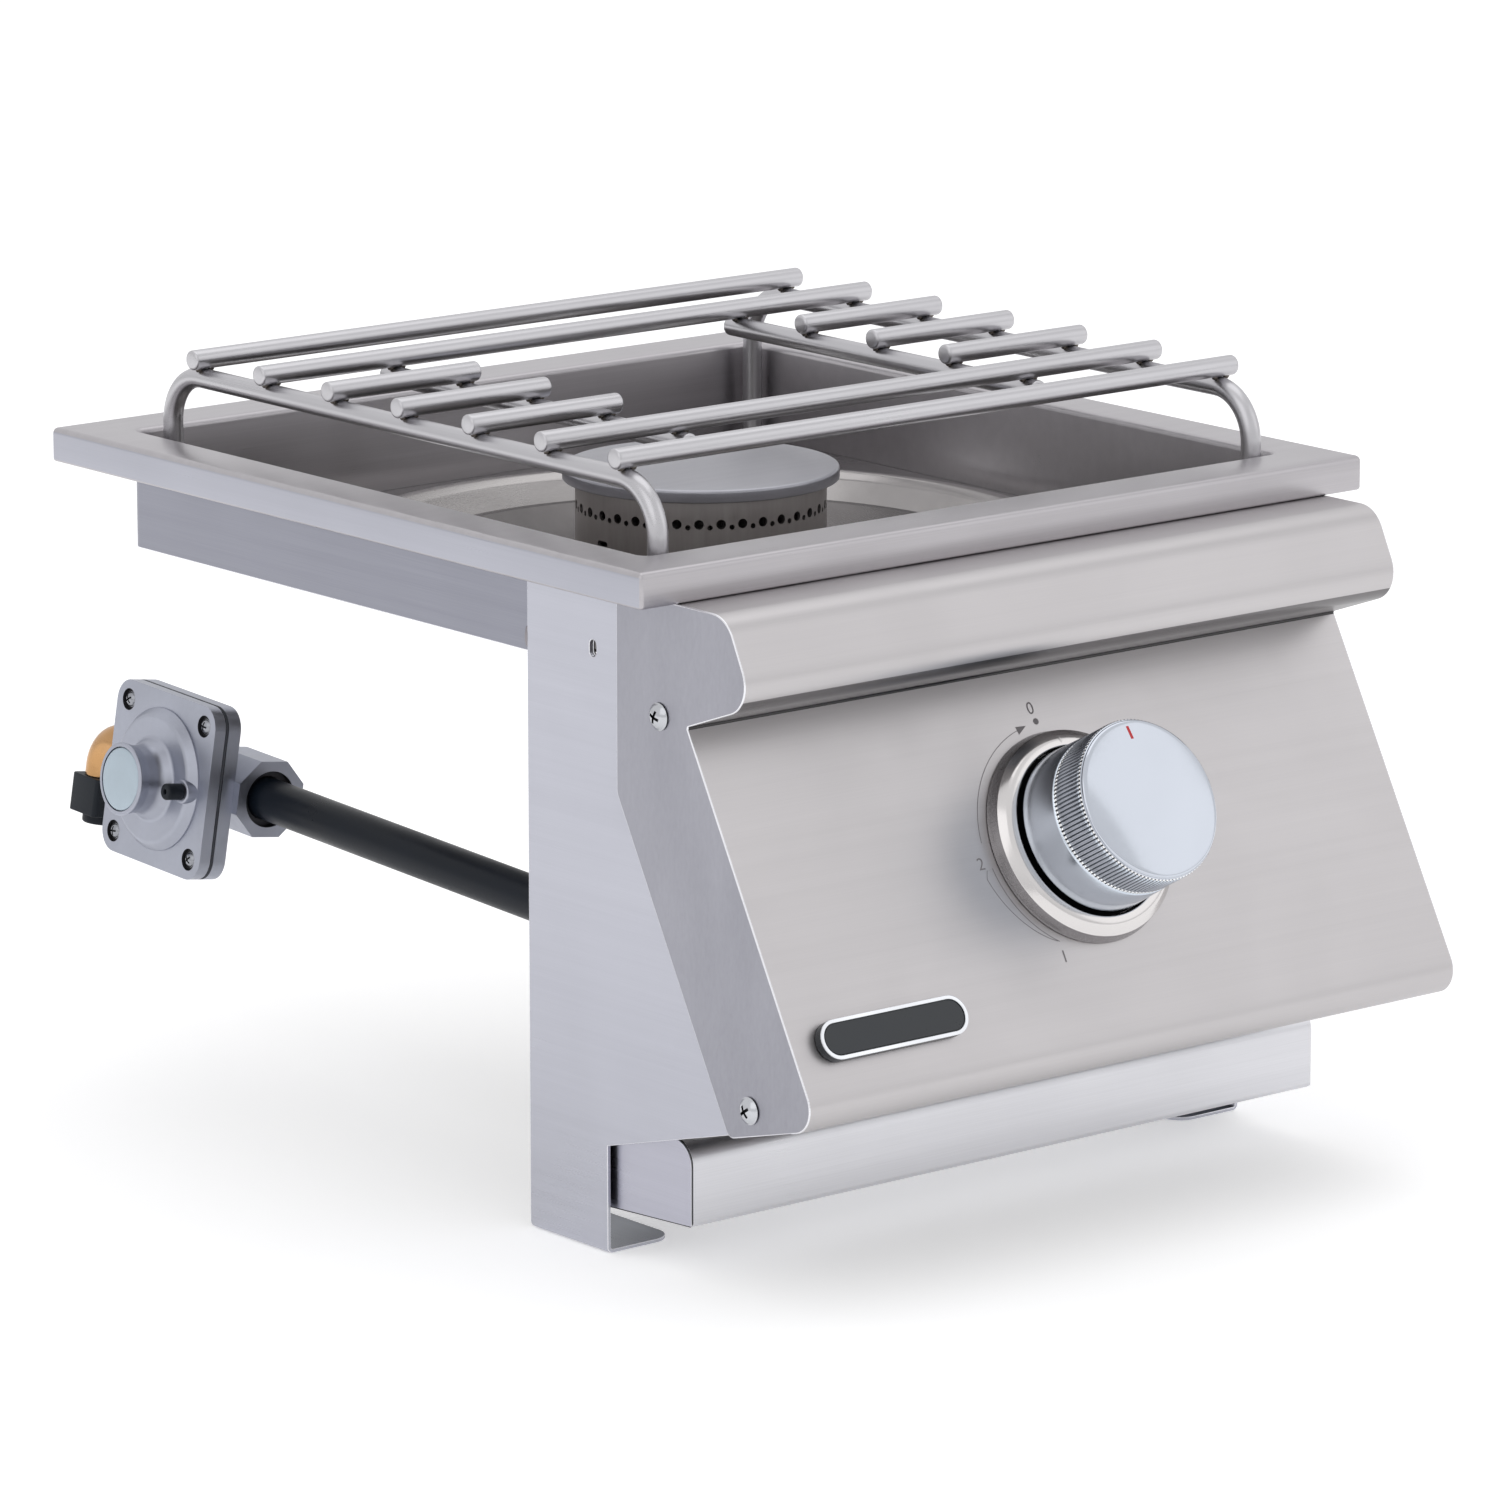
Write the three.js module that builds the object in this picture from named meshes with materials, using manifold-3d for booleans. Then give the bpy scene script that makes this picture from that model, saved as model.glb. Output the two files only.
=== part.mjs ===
// Built-in side burner that hangs by its rim in a worktop cut-out.
// Millimetres, +Z up, and the control panel looks along -Y. The origin is the middle of
// the rim in plan, at the height of the worktop that the rim rests on.
import * as THREE from 'three';
import { mergeVertices } from 'three/addons/utils/BufferGeometryUtils.js';
import Module from 'manifold-3d';

const wasm = await Module();
wasm.setup();

// Common sizes
const seatGap = 0.3;
const overrun = 2;
const sheet = 1.2;
const bendRadius = 2.4;
const chordError = 0.15;
const chordShare = 0.3;
const ringSides = 36;
const pipeSides = 16;
const rodSides = 12;
const cornerSteps = 3;

// Top frame: rim, opening and pan walls
const rimWidth = 356;
const rimDepth = 369;
const rimHeight = 13.5;
const rimSideFace = 22.3;
const rimEndFace = 25;
const rimLip = 12;
const rimCorner = 4;
const wallDrop = 33;

// Pan floor with its bead and its round opening
const floorDrop = 26;
const beadFromWall = 12.7;
const holeInsideBead = 10;
const beadHalfWidth = 6;
const beadRise = 3.5;
const beadRadius = 5;
const floorLip = 9.5;

// Drip bowl
const bowlAirGap = 12;
const bowlRimWidth = 3.5;
const bowlRimDrop = 31.5;
const bowlSlope = 35;
const bowlFloorDrop = 47;
const bowlFootRadius = 5;
const bowlCollar = 28;
const bowlCollarRise = 4;

// Burner bracket: a stepped strip across the underside of the pan
const bracketWidth = 34;
const bracketSheet = 2;
const bracketFlange = 8;
const bracketStepRun = 7.5;
const bracketShelfGap = 1;
const bracketRun = 17;

// Burner drum, cap and neck
const burnerRadius = 49;
const burnerWall = 1.5;
const burnerTopDrop = 0.9;
const burnerDepth = 41;
const neckRadius = 20;
const neckShoulder = 4;
const neckDrop = 58;
const portCount = 36;
const largePortSides = 6;
const smallPortSides = 4;
const largePort = 1.9;
const smallPort = 1.05;
const portDrop = 9.9;
const smallPortLower = 1.2;
const slotDrop = 21;
const slotLength = 6;
const slotHeight = 2.4;
const capRadius = 54;
const capThickness = 5;
const capSpigotDepth = 4;
const capSpigotGap = 4;
const capEdge = 1.2;

// Venturi tube, air shutter and orifice
const venturiRadius = 16;
const venturiDrop = 76;
const venturiBehindRim = 89.5;
const venturiEntry = 10;
const shutterLength = 18;
const shutterOverlap = 12;
const shutterSlots = 4;
const shutterSlotWidth = 8;
const spudRadius = 5;
const spudLength = 9;
const orificeAcross = 15.6;
const orificeLength = 20;
const feedRadius = 4;
const feedSocket = 6;
const feedBend = 34;

// Side panels that carry the control panel
const sidePanelSheet = 1.5;
const sidePanelBack = 91;
const sidePanelNotch = 44.5;
const sidePanelDrop = 253.5;
const sidePanelInset = 1;
const sidePanelRaise = 1.5;
const sidePanelNoseCut = 16;
const notchDrop = 212;
const footWidth = 32;
const footCorner = 9;
const ovalHoleAcross = 4;
const ovalHoleTall = 6.5;
const ovalHoleBack = 52;
const ovalHoleDrop = 25;

// Control panel: nose, leaning face, lower return and side flanges
const noseBack = 4;
const noseTopDrop = 0.9;
const noseTopReach = 26.8;
const noseTopRadius = 13;
const noseFrontReach = 42;
const noseFrontDrop = 31.2;
const noseFrontRadius = 12;
const noseRootReach = 4.3;
const noseRootDrop = 44.7;
const noseRootRadius = 2.6;
const panelLean = THREE.MathUtils.degToRad(28.8);
const panelFaceLength = 154.5;
const panelFootRadius = 10;
const panelReturn = 16;
const returnSlope = THREE.MathUtils.degToRad(14.8);
const flangeRun = 52.5;
const flangeBack = 36.5;
const flangeBendRadius = 6;
const flangeFootRadius = 4;

// Screws through the side flanges
const screwHead = 5.2;
const screwHeadHeight = 2.6;
const screwShank = 2.4;
const screwLength = 9;
const screwRecess = 5.6;
const screwRecessWidth = 1.1;
const screwRecessDepth = 1.4;
const upperScrewBack = 11.5;
const upperScrewDrop = 43.3;
const lowerScrewRun = 37.5;
const lowerScrewRise = 9.7;

// Knob, bezel and stem, on an axis square to the panel face
const knobDown = 67.3;
const bezelRadius = 41.6;
const bezelFaceRadius = 40.1;
const bezelBore = 33.8;
const bezelHeight = 8.9;
const bezelStep = 5.8;
const bezelLand = 1.6;
const bezelWall = 3;
const knobRadius = 32.2;
const knobRear = 12.6;
const knobRim = 1.2;
const knobWall = 2.6;
const knurlStart = 28.6;
const knurlEnd = 44.4;
const knurlRadius = 31.5;
const knurlDepth = 0.7;
const knurlBead = 1.2;
const knurlRibs = 36;
const knobFaceRadius = 30.5;
const knobFaceHeight = 45.8;
const knobCrown = 2.7;
const knobHub = 7;
const indexWidth = 1.6;
const indexLength = 6.5;
const indexDepth = 1.2;
const indexProud = 0.3;
const indexRadius = 25.6;
const stemRadius = 3;
const stemFront = 30;
const stemRear = 40;
const washerRadius = 8.5;
const washerThickness = 1.2;
const washerDepth = 7;
const pushTravel = 3.5;
const panelHole = 8;

// Gas valve behind the panel
const bonnetDepth = 14;
const bonnetRadius = 11;
const bonnetLength = 10;
const valveRear = 52;
const valveRadius = 14;
const valveCentre = 35;
const valvePost = 3;
const valvePostReach = 13;
const valveEar = 4;
const outletRadius = 7.5;
const outletLength = 26;
const inletRadius = 9;
const igniterBoxGap = 2;
const igniterBoxWidth = 14;
const igniterBoxLength = 26;
const igniterBoxHeight = 18;
const igniterLug = 6;

// Manifold, its fittings and the gas pipe
const pipeRadius = 8.55;
const pipeWall = 2.3;
const manifoldDrop = 30.6;
const manifoldReach = 26;
const endCapWall = 3;
const endCapLength = 14;
const elbowFromPanel = 33.6;
const elbowRadius = 12;
const elbowArm = 22;
const elbowCollar = 13.8;
const elbowCollarLength = 7;
const socketDepth = 10;
const pipeYaw = THREE.MathUtils.degToRad(2);
const pipeRise = THREE.MathUtils.degToRad(1.75);

// Regulator on the rear end of the pipe
const regulatorRoll = THREE.MathUtils.degToRad(8);
const regulatorPastRim = 9;
const gasBossReach = 39;
const gasBossAcross = 30.6;
const gasBossFlats = 8;
const gasBossLength = 29;
const gasBossNeck = 14;
const gasBossRecess = 11.4;
const gasBossRecessDepth = 3;
const flangeSize = 70;
const flangeCorner = 9;
const coverFront = 27.4;
const coverThickness = 5;
const gasketThickness = 0.9;
const bodyFlange = 5.8;
const bowlTop = 24;
const bowlBottom = 18;
const bowlDepth = 14;
const domeRadius = 28.6;
const domeTop = 25.6;
const domeHeight = 4;
const towerFoot = 17;
const towerWaist = 13.4;
const towerRadius = 14.8;
const towerHeight = 18.3;
const towerFlare = 4;
const towerCap = 12.6;
const towerCapThickness = 2;
const ventRadius = 3.3;
const ventBoss = 4.8;
const ventBossHeight = 1.4;
const ventReach = 24;
const ventHeight = 13;
const regulatorScrewSpacing = 53.8;
const regulatorScrewHead = 3.4;
const regulatorScrewHeight = 2.2;
const regulatorScrewPocket = 4.4;
const regulatorPocketDepth = 1.6;
const regulatorScrewShank = 1.7;
const regulatorScrewLength = 11;
const inletBoss = 12;
const inletBossReach = 44;
const inletElbowRadius = 8;
const inletElbowBack = 77.5;
const inletElbowDrop = 15;
const inletElbowBend = 11;
const plugAcross = 19;
const plugHeight = 15.5;
const plugCorner = 2;
const plugSpigot = 5;
const plugSpigotLength = 6;
const plugFoot = 7;
const plugFootHeight = 4;

// Badge on the panel face, left blank
const badgeFromSide = 45.5;
const badgeAboveFoot = 30.9;
const badgeLength = 69;
const badgeWidth = 15.2;
const badgeThickness = 3.6;
const badgeBorder = 1.5;
const badgeBorderThickness = 0.6;

// Lower front pan between the side panels
const lowerPanFront = 1;
const lowerPanGap = 2.4;
const lowerPanTopDrop = 201.5;
const lowerPanBottomDrop = 234.2;
const lowerPanRoll = 9.5;
const lowerPanTopFlange = 26;
const lowerPanBack = 88;
const lowerPanTilt = THREE.MathUtils.degToRad(3.2);
const lowerPanUpstand = 12;
const lowerPanSideBack = 50;
const lowerPanTab = 26;
const lowerPanJoggle = 8;
const lowerPanSideDrop = 203.4;

// Rod grate, loose in the pan
const rodRadius = 4;
const rodEnd = 2.2;
const rodGap = 0.1;
const grateAside = 2.4;
const grateForward = 1.6;
const grateBarHeight = 44.7;
const rowFromLeg = 19.7;
const barRows = 7;
const rowShift = 1.9;
const railFromWall = 9;
const legFromWall = 8.4;
const railBend = 20;
const barOverhang = 6.5;
const innerRailSpacing = 60.2;
const innerOverhang = 5.5;

// Igniter electrode beside the drum
const electrodeAside = 56;
const electrodeBack = 34;
const ceramicRadius = 3.2;
const ceramicTopDrop = 18;
const ceramicBottomDrop = 60;
const pinRadius = 0.9;
const pinRise = 7;
const pinReach = 12;
const pinBend = 2;
const clipSheet = 1.5;
const clipHalfWidth = 8;

const X = new THREE.Vector3(1, 0, 0);
const Y = new THREE.Vector3(0, 1, 0);
const Z = new THREE.Vector3(0, 0, 1);
const rimFront = -rimDepth / 2;
const openingX = rimWidth / 2 - rimSideFace;
const openingY = rimDepth / 2 - rimEndFace;
const beadMiddle = Math.min(openingX, openingY) - beadFromWall;
const floorHole = beadMiddle - holeInsideBead;
const bowlRadius = floorHole - bowlAirGap;
const bowlFlat = bowlRadius - bowlSlope;
const venturiReach = rimDepth / 2 - venturiBehindRim;

function finish(color, roughness, metalness) {
  return new THREE.MeshStandardMaterial({ color, roughness, metalness });
}
const brushedSteel = finish(0xb9b8ba, 0.38, 1);
const panSteel = finish(0x8d8a88, 0.45, 1);
const rodSteel = finish(0xb4b3b4, 0.3, 1);
const burnerSteel = finish(0x8f8d8c, 0.5, 1);
const polishedChrome = finish(0xdfe2e6, 0.08, 1);
const satinZinc = finish(0xa9a8a8, 0.3, 1);
const screwSteel = finish(0xc6c8cb, 0.2, 1);
const castAluminium = finish(0x9a9ba0, 0.5, 1);
const blackIron = finish(0x1c1f22, 0.35, 0.2);
const yellowBrass = finish(0xc08a48, 0.3, 1);
const blackPlastic = finish(0x22262a, 0.5, 0);
const paleCap = finish(0xafbcc6, 0.5, 0.1);
const redMark = finish(0xb01f26, 0.4, 0);
const badgeDark = finish(0x3a4046, 0.4, 0.1);
const badgeSilver = finish(0xe4e5e8, 0.2, 1);
const whiteCeramic = finish(0xe8e6e0, 0.4, 0);
const gasketRubber = finish(0x2a2b2d, 0.8, 0);
const softAluminium = finish(0xb8babd, 0.35, 1);

// Geometry with one vertex at each place and no empty triangles
function closed(geometry) {
  const bare = geometry.clone();
  bare.deleteAttribute('normal');
  bare.deleteAttribute('uv');
  const merged = mergeVertices(bare);
  const index = merged.index.array;
  const kept = [];
  for (let i = 0; i < index.length; i += 3) {
    const [a, b, c] = index.slice(i, i + 3);
    if (a !== b && b !== c && c !== a) kept.push(a, b, c);
  }
  merged.setIndex(kept);
  merged.computeVertexNormals();
  return merged;
}

function solidOf(geometry) {
  const merged = closed(geometry);
  const vertProperties = merged.attributes.position.array;
  const triVerts = new Uint32Array(merged.index.array);
  return new wasm.Manifold(new wasm.Mesh({ numProp: 3, vertProperties, triVerts }));
}

function geometryOf(solid) {
  const mesh = solid.getMesh();
  const geometry = new THREE.BufferGeometry();
  geometry.setAttribute('position', new THREE.BufferAttribute(new Float32Array(mesh.vertProperties), 3));
  geometry.setIndex(Array.from(mesh.triVerts));
  return geometry;
}

function join(first, ...others) {
  return geometryOf(others.reduce((sum, other) => sum.add(solidOf(other)), solidOf(first)));
}

function cut(first, ...tools) {
  return geometryOf(tools.reduce((rest, tool) => rest.subtract(solidOf(tool)), solidOf(first)));
}

function mirrored(geometry) {
  const flipped = closed(geometry);
  flipped.scale(-1, 1, 1);
  const index = flipped.index.array;
  for (let i = 0; i < index.length; i += 3) {
    [index[i], index[i + 1]] = [index[i + 1], index[i]];
  }
  return flipped;
}

function arcCount(radius, sweep) {
  const step = 2 * Math.acos(1 - Math.min(chordError / radius, chordShare));
  return Math.max(2, Math.ceil(sweep / step));
}

// Points of the arc that rounds one corner of a route
function cornerArc(before, place, after, radius, steps) {
  const back = before.clone().sub(place).normalize();
  const ahead = after.clone().sub(place).normalize();
  const half = back.angleTo(ahead) / 2;
  const reach = radius / Math.tan(half);
  const centre = back.clone().add(ahead).setLength(radius / Math.sin(half)).add(place);
  const from = back.multiplyScalar(reach).add(place).sub(centre);
  const to = ahead.multiplyScalar(reach).add(place).sub(centre);
  const sweep = Math.PI - 2 * half;
  const count = steps ?? arcCount(radius, sweep);
  return Array.from({ length: count + 1 }, (_, k) => {
    const share = k / count;
    const point = from.clone().multiplyScalar(Math.sin((1 - share) * sweep) / Math.sin(sweep));
    return point.addScaledVector(to, Math.sin(share * sweep) / Math.sin(sweep)).add(centre);
  });
}

// Points of a route with rounded corners; each corner is a place and a radius
function roundedRoute(corners, isClosed = false, steps = undefined) {
  const count = corners.length;
  return corners.flatMap(([place, radius], i) => {
    const isEnd = !isClosed && (i === 0 || i === count - 1);
    if (isEnd || !radius) return [place.clone()];
    const before = corners[(i + count - 1) % count][0];
    const after = corners[(i + 1) % count][0];
    return cornerArc(before, place, after, radius, steps);
  });
}

function corner(u, v, radius = 0) {
  return [new THREE.Vector3(u, v, 0), radius];
}

function flat(points) {
  return points.map((point) => new THREE.Vector2(point.x, point.y));
}

function outline(corners) {
  return new THREE.Shape(flat(roundedRoute(corners, true)));
}

function rectangle(lowU, highU, lowV, highV, radius = 0) {
  return outline([
    corner(lowU, lowV, radius),
    corner(highU, lowV, radius),
    corner(highU, highV, radius),
    corner(lowU, highV, radius),
  ]);
}

function stadium(u, v, length, width) {
  const half = (length - width) / 2;
  const ends = new THREE.Path();
  ends.absarc(u + half, v, width / 2, -Math.PI / 2, Math.PI / 2);
  ends.absarc(u - half, v, width / 2, Math.PI / 2, Math.PI * 3 / 2);
  return new THREE.Shape(ends.getPoints(arcCount(width / 2, Math.PI)));
}

// Regular polygon whose flats face the axes
function roundPath(u, v, radius, sides) {
  return new THREE.Path(Array.from({ length: sides }, (_, i) => {
    const angle = ((i + 0.5) / sides) * Math.PI * 2;
    return new THREE.Vector2(u + radius * Math.cos(angle), v + radius * Math.sin(angle));
  }));
}

// Section of a bent sheet: the route of one face, with the sheet on its right-hand side
function sheetSection(corners, thickness) {
  const face = flat(roundedRoute(corners));
  const back = face.map((point, i) => {
    const last = face.length - 1;
    const start = Math.max(i - 1, 0);
    const end = Math.min(i + 1, last);
    const out = face[end].clone().sub(face[Math.min(i, last - 1)]).normalize();
    const into = face[Math.max(i, 1)].clone().sub(face[start]).normalize();
    const mitre = new THREE.Vector2(into.y + out.y, -into.x - out.x).normalize();
    return point.clone().addScaledVector(mitre, thickness / (mitre.x * into.y - mitre.y * into.x));
  });
  return [...face, ...back.reverse()];
}

// A shape extruded along X, Y or Z from low to high, drawn in the other two axes in order
function prism(shape, axis, low, high) {
  const geometry = new THREE.ExtrudeGeometry(shape, { depth: high - low, bevelEnabled: false });
  if (axis === X) {
    return geometry.applyMatrix4(new THREE.Matrix4().makeBasis(Y, Z, X)).translate(low, 0, 0);
  }
  if (axis === Y) {
    geometry.applyMatrix4(new THREE.Matrix4().makeBasis(X, Z, Y.clone().negate()));
    return geometry.translate(0, high, 0);
  }
  return geometry.translate(0, 0, low);
}

// A profile of radius and height turned about Z, anticlockwise with the axis on its left
function turned(profile, sides = ringSides) {
  const points = profile.map(([radius, z]) => new THREE.Vector2(radius, z));
  return new THREE.LatheGeometry(points, sides, Math.PI / sides).rotateX(Math.PI / 2);
}

function disc(radius, low, high, sides = ringSides) {
  return turned([[0, low], [radius, low], [radius, high], [0, high]], sides);
}

function ring(inner, outer, low, high, sides = ringSides) {
  return turned([[inner, low], [outer, low], [outer, high], [inner, high], [inner, low]], sides);
}

// A bent sheet turned about Z
function turnedSheet(corners, thickness) {
  const section = sheetSection(corners, thickness);
  return turned([...section, section[0]].reverse().map((point) => [point.x, point.y]));
}

function alongX(geometry) {
  return geometry.rotateY(Math.PI / 2);
}

function alongY(geometry) {
  return geometry.rotateX(-Math.PI / 2);
}

// A path from point to point, so that straight runs take a single step
class PointPath extends THREE.Curve {
  constructor(points) {
    super();
    this.points = points;
  }

  getPoint(t) {
    const last = this.points.length - 1;
    const along = Math.min(Math.max(t, 0), 1) * last;
    const i = Math.min(Math.floor(along), last - 1);
    return this.points[i].clone().lerp(this.points[i + 1], along - i);
  }

  getPointAt(t) {
    return this.getPoint(t);
  }

  getTangentAt(t) {
    const last = this.points.length - 1;
    const i = Math.round(t * last);
    const start = Math.max(i, 1);
    const end = Math.min(i, last - 1);
    const into = this.points[start].clone().sub(this.points[start - 1]).normalize();
    const out = this.points[end + 1].clone().sub(this.points[end]).normalize();
    return into.add(out).normalize();
  }
}

function swept(corners, radius, sides, bore = 0) {
  const points = roundedRoute(corners);
  const section = new THREE.Shape(roundPath(0, 0, radius, sides).getPoints());
  if (bore) section.holes.push(roundPath(0, 0, bore, sides));
  const extrudePath = new PointPath(points);
  return new THREE.ExtrudeGeometry(section, { steps: points.length - 1, extrudePath });
}

// Solid from rings of equal counts: each ring joins the next, and the last joins the first
function loopedRings(rings) {
  const count = rings[0].length;
  const index = [];
  rings.forEach((ringPoints, i) => {
    const next = (i + 1) % rings.length;
    ringPoints.forEach((point, j) => {
      const beside = (j + 1) % count;
      index.push(i * count + j, i * count + beside, next * count + beside);
      index.push(i * count + j, next * count + beside, next * count + j);
    });
  });
  const positions = rings.flat().flatMap((point) => point.toArray());
  const geometry = new THREE.BufferGeometry();
  geometry.setAttribute('position', new THREE.Float32BufferAttribute(positions, 3));
  return geometry.setIndex(index);
}

function rectangleRing(halfX, halfY, radius, z) {
  const corners = [
    corner(halfX, halfY, radius),
    corner(-halfX, halfY, radius),
    corner(-halfX, -halfY, radius),
    corner(halfX, -halfY, radius),
  ];
  return roundedRoute(corners, true, cornerSteps).map((point) => point.setZ(z));
}

const burner = new THREE.Group();

function place(name, geometry, material, parent = burner) {
  const mesh = new THREE.Mesh(closed(geometry), material);
  mesh.name = name;
  parent.add(mesh);
  return mesh;
}

// Top frame: one section of sheet that runs up the wall, over the rim, down and back under it
function topFrame() {
  const section = sheetSection([
    corner(0, -wallDrop),
    corner(0, rimHeight, bendRadius),
    corner(rimSideFace, rimHeight, bendRadius),
    corner(rimSideFace, 0, bendRadius),
    corner(rimSideFace - rimLip, 0),
  ], sheet);
  return loopedRings(section.reverse().map((point) => {
    const fromOuter = rimSideFace - point.x;
    const isWall = point.x < sheet + bendRadius;
    const halfY = isWall ? openingY + point.x : rimDepth / 2 - fromOuter;
    const radius = isWall ? rimCorner + point.x : Math.max(rimCorner - fromOuter, seatGap);
    return rectangleRing(openingX + point.x, halfY, radius, point.y);
  }));
}

function panFloor() {
  const halfX = openingX - seatGap;
  const halfY = openingY - seatGap;
  const beadOuter = beadMiddle + beadHalfWidth;
  const blank = rectangle(-halfX, halfX, -halfY, halfY, rimCorner);
  blank.holes.push(roundPath(0, 0, beadOuter, ringSides));
  const field = prism(blank, Z, -floorDrop - sheet, -floorDrop);
  const bead = turnedSheet([
    corner(floorHole, -floorDrop - floorLip),
    corner(beadMiddle - beadHalfWidth, -floorDrop),
    corner(beadMiddle, -floorDrop + beadRise, beadRadius),
    corner(beadOuter, -floorDrop),
    corner(beadOuter + sheet, -floorDrop),
  ], sheet);
  return join(field, bead);
}

function dripBowl() {
  const bowl = turnedSheet([
    corner(bowlCollar, -bowlFloorDrop + bowlCollarRise),
    corner(bowlCollar, -bowlFloorDrop),
    corner(bowlFlat, -bowlFloorDrop, bowlFootRadius),
    corner(bowlRadius - bowlRimWidth, -bowlRimDrop),
    corner(bowlRadius, -bowlRimDrop),
  ], sheet);
  return cut(bowl, electrodeHole());
}

function electrodeHole() {
  const hole = disc(ceramicRadius + seatGap, -ceramicBottomDrop, 0, rodSides);
  return hole.translate(electrodeAside, electrodeBack, 0);
}

// The bracket hangs from the underside of the floor, steps down under the lip of the round
// opening, and carries the bowl and the burner
const bracketTop = -bowlFloorDrop - sheet - seatGap;
function burnerBracket() {
  const end = openingX - seatGap;
  const top = -floorDrop - sheet - seatGap;
  const shelf = -floorDrop - floorLip - bracketShelfGap;
  const half = (side) => [
    corner(side * end, top),
    corner(side * (end - bracketFlange), top, bendRadius),
    corner(side * (end - bracketFlange - bracketStepRun), shelf, bendRadius),
    corner(side * bowlRadius, shelf, bendRadius),
    corner(side * (bowlRadius - bracketRun), bracketTop, bendRadius),
  ];
  const section = sheetSection([...half(-1), ...half(1).reverse()], bracketSheet);
  const strip = prism(new THREE.Shape(section), Y, -bracketWidth / 2, bracketWidth / 2);
  const pad = disc(bracketWidth, bracketTop - bracketSheet, bracketTop);
  const hole = disc(neckRadius + seatGap, bracketTop - bracketSheet - overrun, bracketTop + overrun);
  return cut(join(strip, pad), hole);
}

// Drum with alternate large and small ports; its neck has a shoulder that seats on the bracket
function burnerHead() {
  const bottom = -burnerTopDrop - burnerDepth;
  const shoulder = neckRadius + neckShoulder;
  const bore = venturiRadius + seatGap;
  const inner = burnerRadius - burnerWall;
  const shell = turned([
    [bore, -neckDrop],
    [neckRadius, -neckDrop],
    [neckRadius, bracketTop + seatGap],
    [shoulder, bracketTop + seatGap],
    [shoulder, bottom],
    [burnerRadius - bendRadius, bottom],
    [burnerRadius, bottom + bendRadius],
    [burnerRadius, -burnerTopDrop],
    [inner, -burnerTopDrop],
    [inner, bottom + burnerWall],
    [bore, bottom + burnerWall],
    [bore, -neckDrop],
  ]);
  return cut(shell, ...burnerPorts(), burnerSlot());
}

function burnerPorts() {
  const inner = burnerRadius - burnerWall - overrun;
  return Array.from({ length: portCount * 2 }, (_, i) => {
    const isLarge = i % 2 === 0;
    const radius = isLarge ? largePort : smallPort;
    const sides = isLarge ? largePortSides : smallPortSides;
    const port = alongY(disc(radius, inner, burnerRadius + overrun, sides));
    port.translate(0, 0, isLarge ? -portDrop : -portDrop - smallPortLower);
    return port.rotateZ(i * Math.PI / portCount);
  });
}

function burnerSlot() {
  const shape = stadium(0, -slotDrop, slotLength, slotHeight);
  return prism(shape, X, -burnerRadius - overrun, -burnerRadius + burnerWall + overrun);
}

function burnerCap() {
  const under = -burnerTopDrop + seatGap;
  const top = under + capThickness;
  const spigot = burnerRadius - burnerWall - capSpigotGap;
  return turned([
    [0, under - capSpigotDepth],
    [spigot - capEdge, under - capSpigotDepth],
    [spigot, under - capSpigotDepth + capEdge],
    [spigot, under],
    [capRadius, under],
    [capRadius, top - capEdge],
    [capRadius - capEdge, top],
    [0, top],
  ]);
}

// The venturi stands in the neck and turns forward to the air shutter
function venturiTube() {
  const top = new THREE.Vector3(0, 0, -neckDrop + venturiEntry);
  const turn = new THREE.Vector3(0, 0, -venturiDrop);
  const mouth = new THREE.Vector3(0, -venturiReach, -venturiDrop);
  const route = [[top, 0], [turn, venturiDrop - neckDrop], [mouth, 0]];
  return swept(route, venturiRadius, pipeSides, venturiRadius - sheet);
}

function airShutter() {
  const inner = venturiRadius + seatGap;
  const outer = inner + sheet;
  const hole = spudRadius + seatGap;
  const sleeve = ring(inner, outer, -sheet / 2, shutterLength, pipeSides);
  const plate = ring(hole, outer, -sheet, 0, pipeSides);
  const half = shutterSlotWidth / 2;
  const slot = rectangle(hole + sheet, inner - sheet, -half, half);
  const slots = Array.from({ length: shutterSlots }, (_, i) => {
    return prism(slot, Z, -sheet - overrun, overrun).rotateZ(i * 2 * Math.PI / shutterSlots);
  });
  return cut(join(sleeve, plate), ...slots);
}

// Orifice holder: hexagonal body, spud through the shutter plate and socket for the feed tube
function orificeHolder() {
  const body = disc(orificeAcross / Math.sqrt(3), -orificeLength, 0, 6);
  const spud = disc(spudRadius, -overrun, spudLength, rodSides);
  const socket = disc(feedRadius + seatGap, -orificeLength - overrun, -orificeLength + feedSocket, rodSides);
  return cut(join(body, spud), socket);
}

// Feed tube: up and back from the valve's outlet in one bend to the orifice holder
function feedTube(end) {
  const start = new THREE.Vector3(0, outletLength - feedSocket + seatGap, -valveCentre);
  start.applyMatrix4(knobFrame());
  const along = (end.z - start.z) / Math.cos(panelLean);
  const turn = new THREE.Vector3(0, start.y + along * Math.sin(panelLean), end.z);
  return swept([[start, 0], [turn, feedBend], [end, 0]], feedRadius, rodSides);
}

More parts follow.
